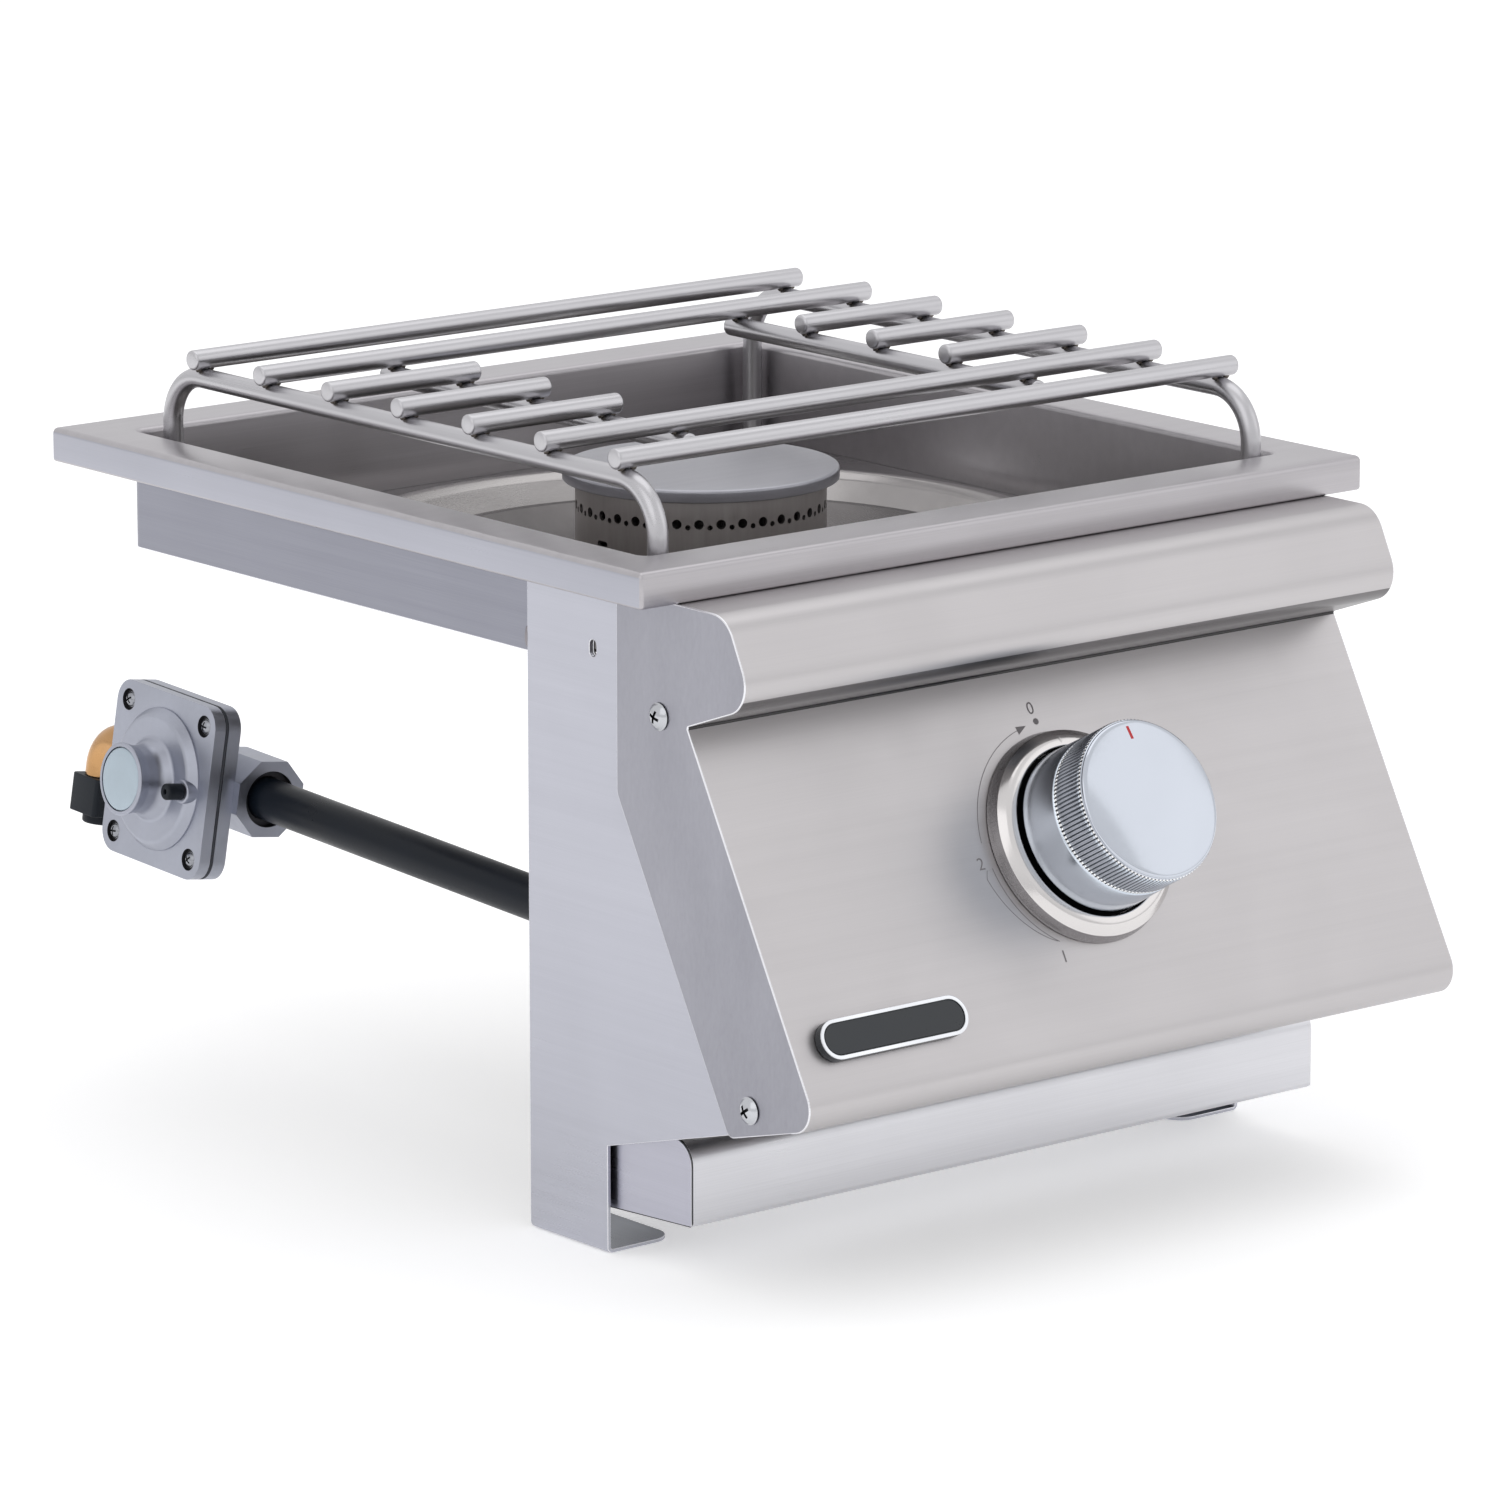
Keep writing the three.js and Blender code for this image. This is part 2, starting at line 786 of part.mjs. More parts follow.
function addBurner() {
  place('top_frame', topFrame(), brushedSteel);
  place('pan_floor', panFloor(), panSteel);
  place('drip_bowl', dripBowl(), panSteel);
  place('burner_bracket', burnerBracket(), panSteel);
  place('burner_head', burnerHead(), burnerSteel);
  place('burner_cap', burnerCap(), burnerSteel);
  place('venturi_tube', venturiTube(), burnerSteel);
  const train = new THREE.Group();
  train.position.set(0, -venturiReach - (shutterLength - shutterOverlap), -venturiDrop);
  train.rotation.x = -Math.PI / 2;
  burner.add(train);
  place('air_shutter', airShutter(), brushedSteel, train);
  const holderFace = -sheet - seatGap;
  place('orifice_holder', orificeHolder(), yellowBrass, train).position.z = holderFace;
  const tubeEnd = train.position.clone();
  tubeEnd.y += holderFace - orificeLength + feedSocket - seatGap;
  place('feed_tube', feedTube(tubeEnd), softAluminium);
}

// Electrode: a ceramic rod with a pin that bends towards the ports
function electrode() {
  const ceramic = disc(ceramicRadius, -ceramicBottomDrop, -ceramicTopDrop, rodSides);
  const inward = new THREE.Vector3(-electrodeAside, -electrodeBack, 0).setLength(pinReach);
  const foot = new THREE.Vector3(0, 0, -ceramicTopDrop - overrun);
  const bend = new THREE.Vector3(0, 0, -ceramicTopDrop + pinRise);
  const pin = swept([[foot, 0], [bend, pinBend], [bend.clone().add(inward), 0]], pinRadius, rodSides / 2);
  return join(ceramic, pin).translate(electrodeAside, electrodeBack, 0);
}

// Clip under the bracket that holds the electrode
function electrodeClip() {
  const top = bracketTop - bracketSheet - seatGap;
  const back = electrodeBack + clipHalfWidth;
  const left = electrodeAside - clipHalfWidth;
  const right = electrodeAside + clipHalfWidth;
  const shape = rectangle(left, right, 0, back, bendRadius);
  return cut(prism(shape, Z, top - clipSheet, top), electrodeHole());
}

// Control panel in side view: u runs to the rear from the rim's front face and v is up
const panelDown = new THREE.Vector3(-Math.sin(panelLean), -Math.cos(panelLean), 0);
const panelRoot = new THREE.Vector3(-noseRootReach, -noseRootDrop, 0);
const panelFoot = panelRoot.clone().addScaledVector(panelDown, panelFaceLength);
const returnRun = new THREE.Vector3(Math.cos(returnSlope), -Math.sin(returnSlope), 0);
const sidePanelInner = openingX + sheet + seatGap;
const sidePanelOuter = sidePanelInner + sidePanelSheet;
const panelHalf = sidePanelOuter + seatGap + sheet;

function noseCorners() {
  return [
    corner(noseBack, -noseTopDrop),
    corner(-noseTopReach, -noseTopDrop, noseTopRadius),
    corner(-noseFrontReach, -noseFrontDrop, noseFrontRadius),
    [panelRoot, noseRootRadius],
    [panelFoot, panelFootRadius],
  ];
}

// The rest of the side flange: its foot, its bend and its top corner
function flangeCorners() {
  const foot = panelFoot.clone().addScaledVector(returnRun, flangeRun);
  const rise = (flangeBack - foot.x) / Math.tan(panelLean);
  return [
    [foot, flangeFootRadius],
    corner(flangeBack, foot.y + rise, flangeBendRadius),
    corner(flangeBack, -noseTopDrop),
  ];
}

const returnUp = new THREE.Vector3(-returnRun.y, returnRun.x, 0);
const lowerScrew = panelFoot.clone().addScaledVector(returnRun, lowerScrewRun);
const screwPlaces = {
  upper: new THREE.Vector3(upperScrewBack, -upperScrewDrop, 0),
  lower: lowerScrew.addScaledVector(returnUp, lowerScrewRise),
};

function pierce(shape) {
  Object.values(screwPlaces).forEach(({ x, y }) => {
    shape.holes.push(roundPath(x, y, screwShank + seatGap, rodSides));
  });
  return shape;
}

// Frame of the knob: origin on the panel's outer face, Z square to it and Y up the slope
function knobFrame() {
  const origin = panelRoot.clone().addScaledVector(panelDown, knobDown);
  const turn = new THREE.Matrix4().makeRotationX(Math.PI / 2 - panelLean);
  return turn.setPosition(0, rimFront + origin.x, origin.y);
}

function controlPanel() {
  const lip = panelFoot.clone().addScaledVector(returnRun, panelReturn);
  const section = sheetSection([...noseCorners(), [lip, 0]].reverse(), sheet);
  const skin = prism(new THREE.Shape(section), X, -panelHalf, panelHalf);
  const side = pierce(outline([...noseCorners(), ...flangeCorners()]));
  const flange = prism(side, X, panelHalf - sheet, panelHalf);
  const body = join(skin, flange, mirrored(flange)).translate(0, rimFront, 0);
  const hole = disc(panelHole, -sheet - overrun, overrun, pipeSides).applyMatrix4(knobFrame());
  return cut(body, hole);
}

// Side panel: slanted lower front edge, notch, oval hole and a foot that turns inward
function sidePanel() {
  const facing = sheet + sidePanelInset;
  const slope = Math.tan(panelLean);
  const faceAt = (v) => panelRoot.x + facing / Math.cos(panelLean) + (v - panelRoot.y) * slope;
  const front = panelFoot.clone().addScaledVector(returnRun, panelReturn + facing);
  front.y += sidePanelRaise;
  const noseCut = front.y + sidePanelNoseCut;
  const shape = pierce(outline([
    corner(sidePanelBack, -noseTopDrop),
    corner(noseBack + seatGap, -noseTopDrop),
    corner(faceAt(panelRoot.y), panelRoot.y),
    corner(faceAt(noseCut), noseCut),
    [front, 0],
    corner(sidePanelNotch, -notchDrop),
    corner(sidePanelNotch, -sidePanelDrop + bendRadius),
    corner(sidePanelBack, -sidePanelDrop + bendRadius),
  ]));
  const oval = stadium(0, 0, ovalHoleTall, ovalHoleAcross).getPoints();
  shape.holes.push(new THREE.Path(oval.map(({ x, y }) => {
    return new THREE.Vector2(ovalHoleBack - y, -ovalHoleDrop + x);
  })));
  const web = prism(shape, X, sidePanelInner, sidePanelOuter);
  return cut(join(web, sideFoot()), footCornerTool()).translate(0, rimFront, 0);
}

function sideFoot() {
  const section = sheetSection([
    corner(sidePanelOuter, -sidePanelDrop + bendRadius + overrun),
    corner(sidePanelOuter, -sidePanelDrop, bendRadius),
    corner(sidePanelOuter - footWidth, -sidePanelDrop),
  ], sidePanelSheet);
  return prism(new THREE.Shape(section), Y, sidePanelNotch, sidePanelBack);
}

// Leaves the foot's inner front corner round
function footCornerTool() {
  const inner = sidePanelOuter - footWidth;
  const low = -sidePanelDrop - overrun;
  const high = -sidePanelDrop + sidePanelSheet + overrun;
  const front = sidePanelNotch - overrun;
  const square = rectangle(inner - overrun, inner + footCorner, front, sidePanelNotch + footCorner);
  const round = disc(footCorner, low - overrun, high + overrun, ringSides);
  round.translate(inner + footCorner, sidePanelNotch + footCorner, 0);
  return cut(prism(square, Z, low, high), round);
}

// Truss head screw with a cross recess, its head's underside at height 0
function sideScrew() {
  const screw = turned([
    [0, -screwLength],
    [screwShank / 2, -screwLength],
    [screwShank, -screwLength + screwShank],
    [screwShank, 0],
    [screwHead, 0],
    [screwHead * Math.cos(Math.PI / 6), screwHeadHeight * Math.sin(Math.PI / 4)],
    [screwHead / 2, screwHeadHeight],
    [0, screwHeadHeight],
  ], rodSides);
  const slot = new THREE.BoxGeometry(screwRecess, screwRecessWidth, screwRecessDepth);
  slot.translate(0, 0, screwHeadHeight + seatGap - screwRecessDepth / 2);
  return cut(screw, slot, slot.clone().rotateZ(Math.PI / 2));
}

function addPanels() {
  place('control_panel', controlPanel(), brushedSteel);
  place('right_side_panel', sidePanel(), brushedSteel);
  place('left_side_panel', mirrored(sidePanel()), brushedSteel);
  Object.entries(screwPlaces).forEach(([level, { x, y }]) => {
    [-1, 1].forEach((side) => {
      const screw = place(`${side < 0 ? 'left' : 'right'}_${level}_screw`, sideScrew(), screwSteel);
      screw.position.set(side * (panelHalf + seatGap), rimFront + x, y);
      screw.rotation.y = side * Math.PI / 2;
    });
  });
}

// Bezel: conical wall and sloping polished face round an open bore
function bezel() {
  return turned([
    [bezelRadius - bezelWall, seatGap],
    [bezelRadius, seatGap],
    [bezelFaceRadius, bezelStep],
    [bezelBore + bezelLand, bezelHeight],
    [bezelBore, bezelHeight],
    [bezelBore, bezelStep],
    [bezelRadius - bezelWall, seatGap],
  ]);
}

// Knob: hollow behind with a hub, smooth skirt, knurled band between two beads, domed face
const knobRoof = knobFaceHeight - knobWall;
function knob() {
  const crownShares = [0.75, 0.5, 0.25, 0];
  const hubRear = knobRear + knobRim;
  const bore = stemRadius + seatGap;
  const valley = knurlRadius - knurlDepth;
  const core = turned([
    [0, stemFront + seatGap],
    [bore, stemFront + seatGap],
    [bore, hubRear],
    [knobHub, hubRear],
    [knobHub, knobRoof],
    [knurlRadius - knobWall, knobRoof],
    [knobRadius - knobWall, knobRear],
    [knobRadius - knobRim, knobRear],
    [knobRadius, knobRear + knobRim],
    [knurlRadius, knurlStart],
    [knurlRadius, knurlStart + knurlBead],
    [valley, knurlStart + knurlBead],
    [valley, knurlEnd - knurlBead],
    [knurlRadius, knurlEnd - knurlBead],
    [knurlRadius, knurlEnd],
    [knobFaceRadius, knobFaceHeight],
    ...crownShares.map((share) => [knobFaceRadius * share, knobFaceHeight + knobCrown * (1 - share ** 2)]),
  ], knurlRibs);
  return cut(join(core, knurl()), indexPocket());
}

// Ribs of the knurled band, each a ridge between two valleys
function knurl() {
  const inner = knurlRadius - knobWall / 2;
  const low = knurlStart + knurlBead / 2;
  const high = knurlEnd - knurlBead / 2;
  const profile = [[inner, low], [knurlRadius, low], [knurlRadius, high], [inner, high]];
  return loopedRings(profile.map(([radius, z]) => {
    return Array.from({ length: knurlRibs * 2 }, (_, i) => {
      const angle = (i / knurlRibs) * Math.PI;
      const reach = radius === knurlRadius && i % 2 ? radius - knurlDepth : radius;
      return new THREE.Vector3(reach * Math.cos(angle), reach * Math.sin(angle), z);
    });
  }));
}

function indexBar(width, length, low) {
  const top = knobFaceHeight + knobCrown + overrun;
  const middle = indexRadius;
  return prism(rectangle(-width / 2, width / 2, middle - length / 2, middle + length / 2), Z, low, top);
}

const indexFace = knobFaceHeight + knobCrown * (1 - (indexRadius / knobFaceRadius) ** 2);
function indexPocket() {
  return indexBar(indexWidth + 2 * seatGap, indexLength + 2 * seatGap, indexFace - indexDepth);
}

function knobIndex() {
  const bar = indexBar(indexWidth, indexLength, indexFace - indexDepth + seatGap);
  const above = disc(knobRadius, indexFace + indexProud, knobFaceHeight + knobCrown + 2 * overrun);
  return cut(bar, above);
}

function valveStem() {
  return disc(stemRadius, -stemRear, stemFront, pipeSides);
}

function thrustWasher() {
  const rear = -washerDepth - washerThickness;
  return ring(stemRadius + seatGap, washerRadius, rear, -washerDepth, pipeSides);
}

// Valve: bonnet, body, outlet boss up the slope and inlet boss that saddles the manifold
function valveBody() {
  const bonnetRear = -bonnetDepth - bonnetLength;
  const barrel = turned([
    [0, -valveRear],
    [valveRadius, -valveRear],
    [valveRadius, bonnetRear],
    [bonnetRadius, bonnetRear],
    [bonnetRadius, -bonnetDepth],
    [0, -bonnetDepth],
  ], pipeSides);
  const outlet = alongY(disc(outletRadius, 0, outletLength, pipeSides)).translate(0, 0, -valveCentre);
  const inlet = alongY(disc(inletRadius, -manifoldDrop, 0, pipeSides)).translate(0, 0, -valveCentre);
  const saddle = alongX(disc(pipeRadius + seatGap, -manifoldReach, manifoldReach, pipeSides));
  saddle.translate(0, -manifoldDrop, -valveCentre);
  const bore = disc(stemRadius + seatGap, -stemRear - pushTravel - overrun, 0, pipeSides);
  const socketBottom = outletLength - feedSocket;
  const socket = alongY(disc(feedRadius + seatGap, socketBottom, outletLength + overrun, rodSides));
  socket.translate(0, 0, -valveCentre);
  return cut(join(barrel, outlet, inlet, ...valvePosts()), saddle, bore, socket);
}

// Two posts, above and below the stem, that carry the valve on the inner face of the panel
function valvePosts() {
  const ear = stadium(0, 0, 2 * (valvePostReach + valvePost), 2 * valvePost);
  const plate = prism(ear, Z, -bonnetDepth - valveEar, -bonnetDepth).rotateZ(Math.PI / 2);
  return [plate, ...[-1, 1].map((side) => {
    const post = disc(valvePost, -bonnetDepth - valveEar / 2, -sheet - seatGap, rodSides);
    return post.translate(0, side * valvePostReach, 0);
  })];
}

// Spark box with a lug that lies against the bonnet
function igniterBox() {
  const inner = valveRadius + seatGap;
  const box = new THREE.BoxGeometry(igniterBoxWidth, igniterBoxHeight, igniterBoxLength);
  box.translate(inner + igniterBoxWidth / 2, 0, -bonnetDepth - igniterBoxLength / 2);
  const reach = valveRadius - bonnetRadius + overrun;
  const lug = new THREE.BoxGeometry(reach, igniterLug, bonnetLength - igniterBoxGap);
  lug.translate(inner + overrun - reach / 2, 0, -bonnetDepth - (bonnetLength - igniterBoxGap) / 2);
  return join(box, lug);
}

// Blank badge: dark plate with a raised face, and a bright border round the face
function badgePlate() {
  const base = prism(stadium(0, 0, badgeLength, badgeWidth), Z, seatGap, badgeThickness);
  const inset = 2 * (badgeBorder + seatGap);
  const face = stadium(0, 0, badgeLength - inset, badgeWidth - inset);
  return join(base, prism(face, Z, badgeThickness / 2, badgeThickness + badgeBorderThickness));
}

function badgeRim() {
  const outer = stadium(0, 0, badgeLength, badgeWidth);
  outer.holes.push(stadium(0, 0, badgeLength - 2 * badgeBorder, badgeWidth - 2 * badgeBorder));
  const low = badgeThickness + seatGap;
  return prism(outer, Z, low, low + badgeBorderThickness);
}

function addControls() {
  const control = new THREE.Group();
  control.applyMatrix4(knobFrame());
  burner.add(control);
  place('bezel', bezel(), satinZinc, control);
  place('knob', knob(), polishedChrome, control);
  place('knob_index', knobIndex(), redMark, control);
  place('valve_stem', valveStem(), screwSteel, control);
  place('thrust_washer', thrustWasher(), screwSteel, control);
  place('valve_body', valveBody(), yellowBrass, control);
  place('igniter_box', igniterBox(), blackPlastic, control);
  const badge = new THREE.Group();
  badge.position.set(badgeFromSide - panelHalf, knobDown + badgeAboveFoot - panelFaceLength, 0);
  control.add(badge);
  place('badge_plate', badgePlate(), badgeDark, badge);
  place('badge_border', badgeRim(), badgeSilver, badge);
}

// Lower front pan: sloping bottom, rolled front, side walls with joggled tabs, rear upstand
const lowerPanHalf = sidePanelInner - lowerPanGap;
function lowerPan() {
  const bottomAt = (u) => -lowerPanBottomDrop - (u + lowerPanFront) * Math.tan(lowerPanTilt);
  const section = sheetSection([
    corner(lowerPanBack, bottomAt(lowerPanBack) + lowerPanUpstand),
    corner(lowerPanBack, bottomAt(lowerPanBack), bendRadius),
    corner(-lowerPanFront, -lowerPanBottomDrop, bendRadius),
    corner(-lowerPanFront, -lowerPanTopDrop, lowerPanRoll),
    corner(lowerPanTopFlange, -lowerPanTopDrop),
  ], sheet);
  const skin = prism(new THREE.Shape(section), X, -lowerPanHalf, lowerPanHalf);
  const inner = -lowerPanFront + sheet + seatGap;
  const wall = prism(outline([
    corner(inner, -lowerPanSideDrop, lowerPanRoll),
    corner(inner, bottomAt(inner) + sheet / 2),
    corner(lowerPanSideBack, bottomAt(lowerPanSideBack) + sheet / 2),
    corner(lowerPanSideBack, -lowerPanSideDrop),
  ]), X, lowerPanHalf - sheet, lowerPanHalf);
  const tab = lowerPanJoggledTab(bottomAt(lowerPanSideBack) + sheet / 2);
  const piece = join(skin, wall, mirrored(wall), tab, mirrored(tab));
  return piece.translate(0, rimFront, 0);
}

// Tab that steps out to lie on the inner face of the side panel
function lowerPanJoggledTab(bottom) {
  const outer = sidePanelInner - seatGap;
  const section = sheetSection([
    corner(outer, lowerPanSideBack + lowerPanJoggle + lowerPanTab),
    corner(outer, lowerPanSideBack + lowerPanJoggle, bendRadius),
    corner(lowerPanHalf, lowerPanSideBack, bendRadius),
    corner(lowerPanHalf, lowerPanSideBack - overrun),
  ], sheet);
  return prism(new THREE.Shape(section), Z, bottom, -lowerPanSideDrop);
}

// Elbow with a collared socket towards the manifold and one towards the gas pipe
const elbowAside = sidePanelInner - elbowFromPanel;
const regulatorBack = rimDepth + regulatorPastRim;
const pipeTilt = new THREE.Euler(pipeRise, 0, -pipeYaw, 'ZXY');
function manifoldElbow() {
  const tilt = new THREE.Matrix4().makeRotationFromEuler(pipeTilt);
  const arm = () => turned([
    [0, 0],
    [elbowRadius, 0],
    [elbowRadius, elbowArm - elbowCollarLength],
    [elbowCollar, elbowArm - elbowCollarLength],
    [elbowCollar, elbowArm],
    [0, elbowArm],
  ], pipeSides);
  const bore = () => turned([
    [0, 0],
    [pipeRadius - pipeWall, 0],
    [pipeRadius - pipeWall, elbowArm - socketDepth],
    [pipeRadius + seatGap, elbowArm - socketDepth],
    [pipeRadius + seatGap, elbowArm + overrun],
    [0, elbowArm + overrun],
  ], pipeSides);
  const heel = new THREE.SphereGeometry(elbowRadius, pipeSides, pipeSides / 2);
  const body = join(heel, alongX(arm()), alongY(arm()).applyMatrix4(tilt));
  return cut(body, alongX(bore()), alongY(bore()).applyMatrix4(tilt));
}

function manifoldEndCap() {
  const outer = pipeRadius + seatGap + endCapWall;
  const open = manifoldReach + seatGap + endCapWall - endCapLength;
  const cap = disc(outer, open, manifoldReach + seatGap + endCapWall, pipeSides);
  return alongX(cut(cap, disc(pipeRadius + seatGap, open - overrun, manifoldReach + seatGap, pipeSides)));
}

// The manifold lies along X under the valve, from the end cap to the elbow
function manifoldPipe() {
  const start = -elbowAside + elbowArm - socketDepth + seatGap;
  return alongX(ring(pipeRadius - pipeWall, pipeRadius, start, manifoldReach, pipeSides));
}

// Regulator in its own frame: Z out through the cover, X towards the gas pipe, Y up
const coverBack = coverFront - coverThickness;
const gasketBack = coverBack - seatGap - gasketThickness;
const flangeFront = gasketBack - seatGap;
const flangeRear = flangeFront - bodyFlange;

function regulatorCorners() {
  const half = regulatorScrewSpacing / 2;
  return [[-half, half], [half, half], [half, -half], [-half, -half]];
}

function squarePlate(low, high) {
  const half = flangeSize / 2;
  const shape = rectangle(-half, half, -half, half, flangeCorner);
  regulatorCorners().forEach(([x, y]) => {
    shape.holes.push(roundPath(x, y, regulatorScrewShank + seatGap, rodSides));
  });
  return prism(shape, Z, low, high);
}

function regulatorBody() {
  const bowlFloor = flangeRear - bowlDepth;
  const bowl = turned([
    [0, bowlFloor],
    [bowlBottom, bowlFloor],
    [bowlTop, flangeRear],
    [bowlTop, flangeFront],
    [0, flangeFront],
  ], pipeSides);
  const neck = alongX(disc(gasBossNeck, 0, gasBossReach, pipeSides));
  const gasBossCorner = gasBossAcross / 2 / Math.cos(Math.PI / gasBossFlats);
  const gasBoss = disc(gasBossCorner, gasBossReach - gasBossLength, gasBossReach, gasBossFlats);
  gasBoss.rotateZ(Math.PI / gasBossFlats);
  const pipeStop = gasBossReach - socketDepth - seatGap;
  const pipeBore = disc(pipeRadius + seatGap, pipeStop, gasBossReach + overrun, pipeSides);
  const recessFloor = gasBossReach - gasBossRecessDepth;
  const recess = disc(gasBossRecess, recessFloor, gasBossReach + overrun, pipeSides);
  const boss = alongX(disc(inletBoss, -inletBossReach, 0, pipeSides));
  const inletMouth = -inletBossReach - overrun;
  const inletStop = -inletBossReach + socketDepth;
  const inletBore = disc(inletElbowRadius + seatGap, inletMouth, inletStop, pipeSides);
  const body = join(squarePlate(flangeRear, flangeFront), bowl, neck, alongX(gasBoss), boss);
  return cut(body, alongX(pipeBore), alongX(recess), alongX(inletBore));
}

// Cover: square flange, shallow dome, flared tower with a capped top and a boss for the vent
function regulatorCover() {
  const top = coverFront + towerHeight;
  const dome = turned([
    [0, coverBack],
    [domeRadius, coverBack],
    [domeRadius, coverFront],
    [domeTop, coverFront + domeHeight],
    [towerFoot, coverFront + domeHeight],
    [towerWaist, coverFront + domeHeight + towerFlare],
    [towerWaist, top - towerFlare],
    [towerRadius, top],
    [towerCap + seatGap, top],
    [towerCap + seatGap, top - towerCapThickness - seatGap],
    [0, top - towerCapThickness - seatGap],
  ], ringSides);
  const vent = disc(ventBoss, coverBack, coverFront + domeHeight + ventBossHeight, pipeSides);
  const pocketFloor = coverFront - regulatorPocketDepth;
  const pockets = regulatorCorners().map(([x, y]) => {
    return disc(regulatorScrewPocket, pocketFloor, coverFront + overrun, rodSides).translate(x, y, 0);
  });
  const plate = squarePlate(coverBack, coverFront);
  return cut(join(plate, dome, vent.translate(ventReach, 0, 0)), ...pockets);
}

function regulatorScrew() {
  const seat = coverFront - regulatorPocketDepth + seatGap;
  return turned([
    [0, seat - regulatorScrewLength],
    [regulatorScrewShank, seat - regulatorScrewLength],
    [regulatorScrewShank, seat],
    [regulatorScrewHead, seat],
    [regulatorScrewHead, seat + regulatorScrewHeight / 2],
    [regulatorScrewHead / 2, seat + regulatorScrewHeight],
    [0, seat + regulatorScrewHeight],
  ], pipeSides / 2);
}

// Inlet elbow: out of the rear boss and down to its plug
function inletElbow() {
  const start = new THREE.Vector3(-inletBossReach + socketDepth - seatGap, 0, 0);
  const turn = new THREE.Vector3(-inletElbowBack, 0, 0);
  const end = new THREE.Vector3(-inletElbowBack, -inletElbowDrop, 0);
  const route = [[start, 0], [turn, inletElbowBend], [end, 0]];
  return swept(route, inletElbowRadius, pipeSides, plugSpigot + seatGap);
}

function inletPlug() {
  const half = plugAcross / 2;
  const top = -inletElbowDrop - seatGap;
  const block = prism(rectangle(-half, half, -half, half, plugCorner), Z, top - plugHeight, top);
  const spigot = disc(plugSpigot, top - overrun, top + plugSpigotLength, pipeSides);
  const foot = disc(plugFoot, top - plugHeight - plugFootHeight, top - plugHeight + overrun, pipeSides);
  return join(block, spigot, foot).rotateX(-Math.PI / 2).translate(-inletElbowBack, 0, 0);
}

function addRegulator(pipe) {
  const regulator = new THREE.Group();
  const basis = new THREE.Matrix4().makeBasis(Y.clone().negate(), Z, X.clone().negate());
  basis.setPosition(0, regulatorBack, 0);
  regulator.applyMatrix4(basis.premultiply(new THREE.Matrix4().makeRotationY(regulatorRoll)));
  pipe.add(regulator);
  place('regulator_body', regulatorBody(), castAluminium, regulator);
  place('regulator_gasket', squarePlate(gasketBack, gasketBack + gasketThickness), gasketRubber, regulator);
  place('regulator_cover', regulatorCover(), castAluminium, regulator);
  const capTop = coverFront + towerHeight;
  place('regulator_tower_cap', disc(towerCap, capTop - towerCapThickness, capTop), paleCap, regulator);
  const ventFoot = coverFront + domeHeight + ventBossHeight + seatGap;
  const vent = disc(ventRadius, ventFoot, coverFront + ventHeight, pipeSides);
  place('regulator_vent', vent, blackPlastic, regulator).position.x = ventReach;
  regulatorCorners().forEach(([x, y], i) => {
    place(`regulator_screw_${i + 1}`, regulatorScrew(), screwSteel, regulator).position.set(x, y, 0);
  });
  place('inlet_elbow', inletElbow(), yellowBrass, regulator);
  place('inlet_plug', inletPlug(), blackPlastic, regulator);
}

function addGasTrain() {
  const manifold = new THREE.Group();
  manifold.position.copy(new THREE.Vector3(0, -manifoldDrop, -valveCentre).applyMatrix4(knobFrame()));
  burner.add(manifold);
  place('manifold_pipe', manifoldPipe(), blackIron, manifold);
  place('manifold_end_cap', manifoldEndCap(), blackIron, manifold);
  const turn = new THREE.Group();
  turn.position.x = -elbowAside;
  manifold.add(turn);
  place('manifold_elbow', manifoldElbow(), blackIron, turn);
  const pipe = new THREE.Group();
  pipe.rotation.copy(pipeTilt);
  turn.add(pipe);
  const pipeStart = elbowArm - socketDepth + seatGap;
  const pipeEnd = regulatorBack - gasBossReach + socketDepth;
  const tube = ring(pipeRadius - pipeWall, pipeRadius, pipeStart, pipeEnd, pipeSides);
  place('gas_pipe', alongY(tube), blackIron, pipe);
  addRegulator(pipe);
}

// Straight rod along X from its middle, with domed ends
function rod(length) {
  const half = length / 2;
  const cap = [[0, 0], [rodRadius * Math.SQRT1_2, rodEnd * (1 - Math.SQRT1_2)], [rodRadius, rodEnd]];
  const profile = [...cap.map(([r, z]) => [r, z - half]), ...cap.reverse().map(([r, z]) => [r, half - z])];
  return alongX(turned(profile, rodSides));
}

// Grate: outer rails bent down into legs, inner rails, and bars that lie across them
const railHeight = grateBarHeight - 2 * rodRadius * Math.cos(Math.PI / rodSides) - rodGap;
const railAside = openingX - railFromWall;
const legBack = openingY - legFromWall;
const barHalf = railAside + barOverhang;
const barSpacing = 2 * (legBack - rowFromLeg) / (barRows - 1);
const innerRailAside = railAside - innerRailSpacing;

function outerRail() {
  const foot = -floorDrop + seatGap;
  const route = [
    [new THREE.Vector3(0, -legBack, foot), 0],
    [new THREE.Vector3(0, -legBack, railHeight), railBend],
    [new THREE.Vector3(0, legBack, railHeight), railBend],
    [new THREE.Vector3(0, legBack, foot), 0],
  ];
  return swept(route, rodRadius, rodSides);
}

function addRails(grate) {
  const gapRows = barRows - 3;
  const innerLength = gapRows * barSpacing + 2 * barOverhang;
  [-1, 1].forEach((side) => {
    const hand = side < 0 ? 'left' : 'right';
    place(`${hand}_outer_rail`, outerRail(), rodSteel, grate).position.x = side * railAside;
    const inner = place(`${hand}_inner_rail`, rod(innerLength).rotateZ(Math.PI / 2), rodSteel, grate);
    inner.position.set(side * innerRailAside, -rowShift, railHeight);
  });
}

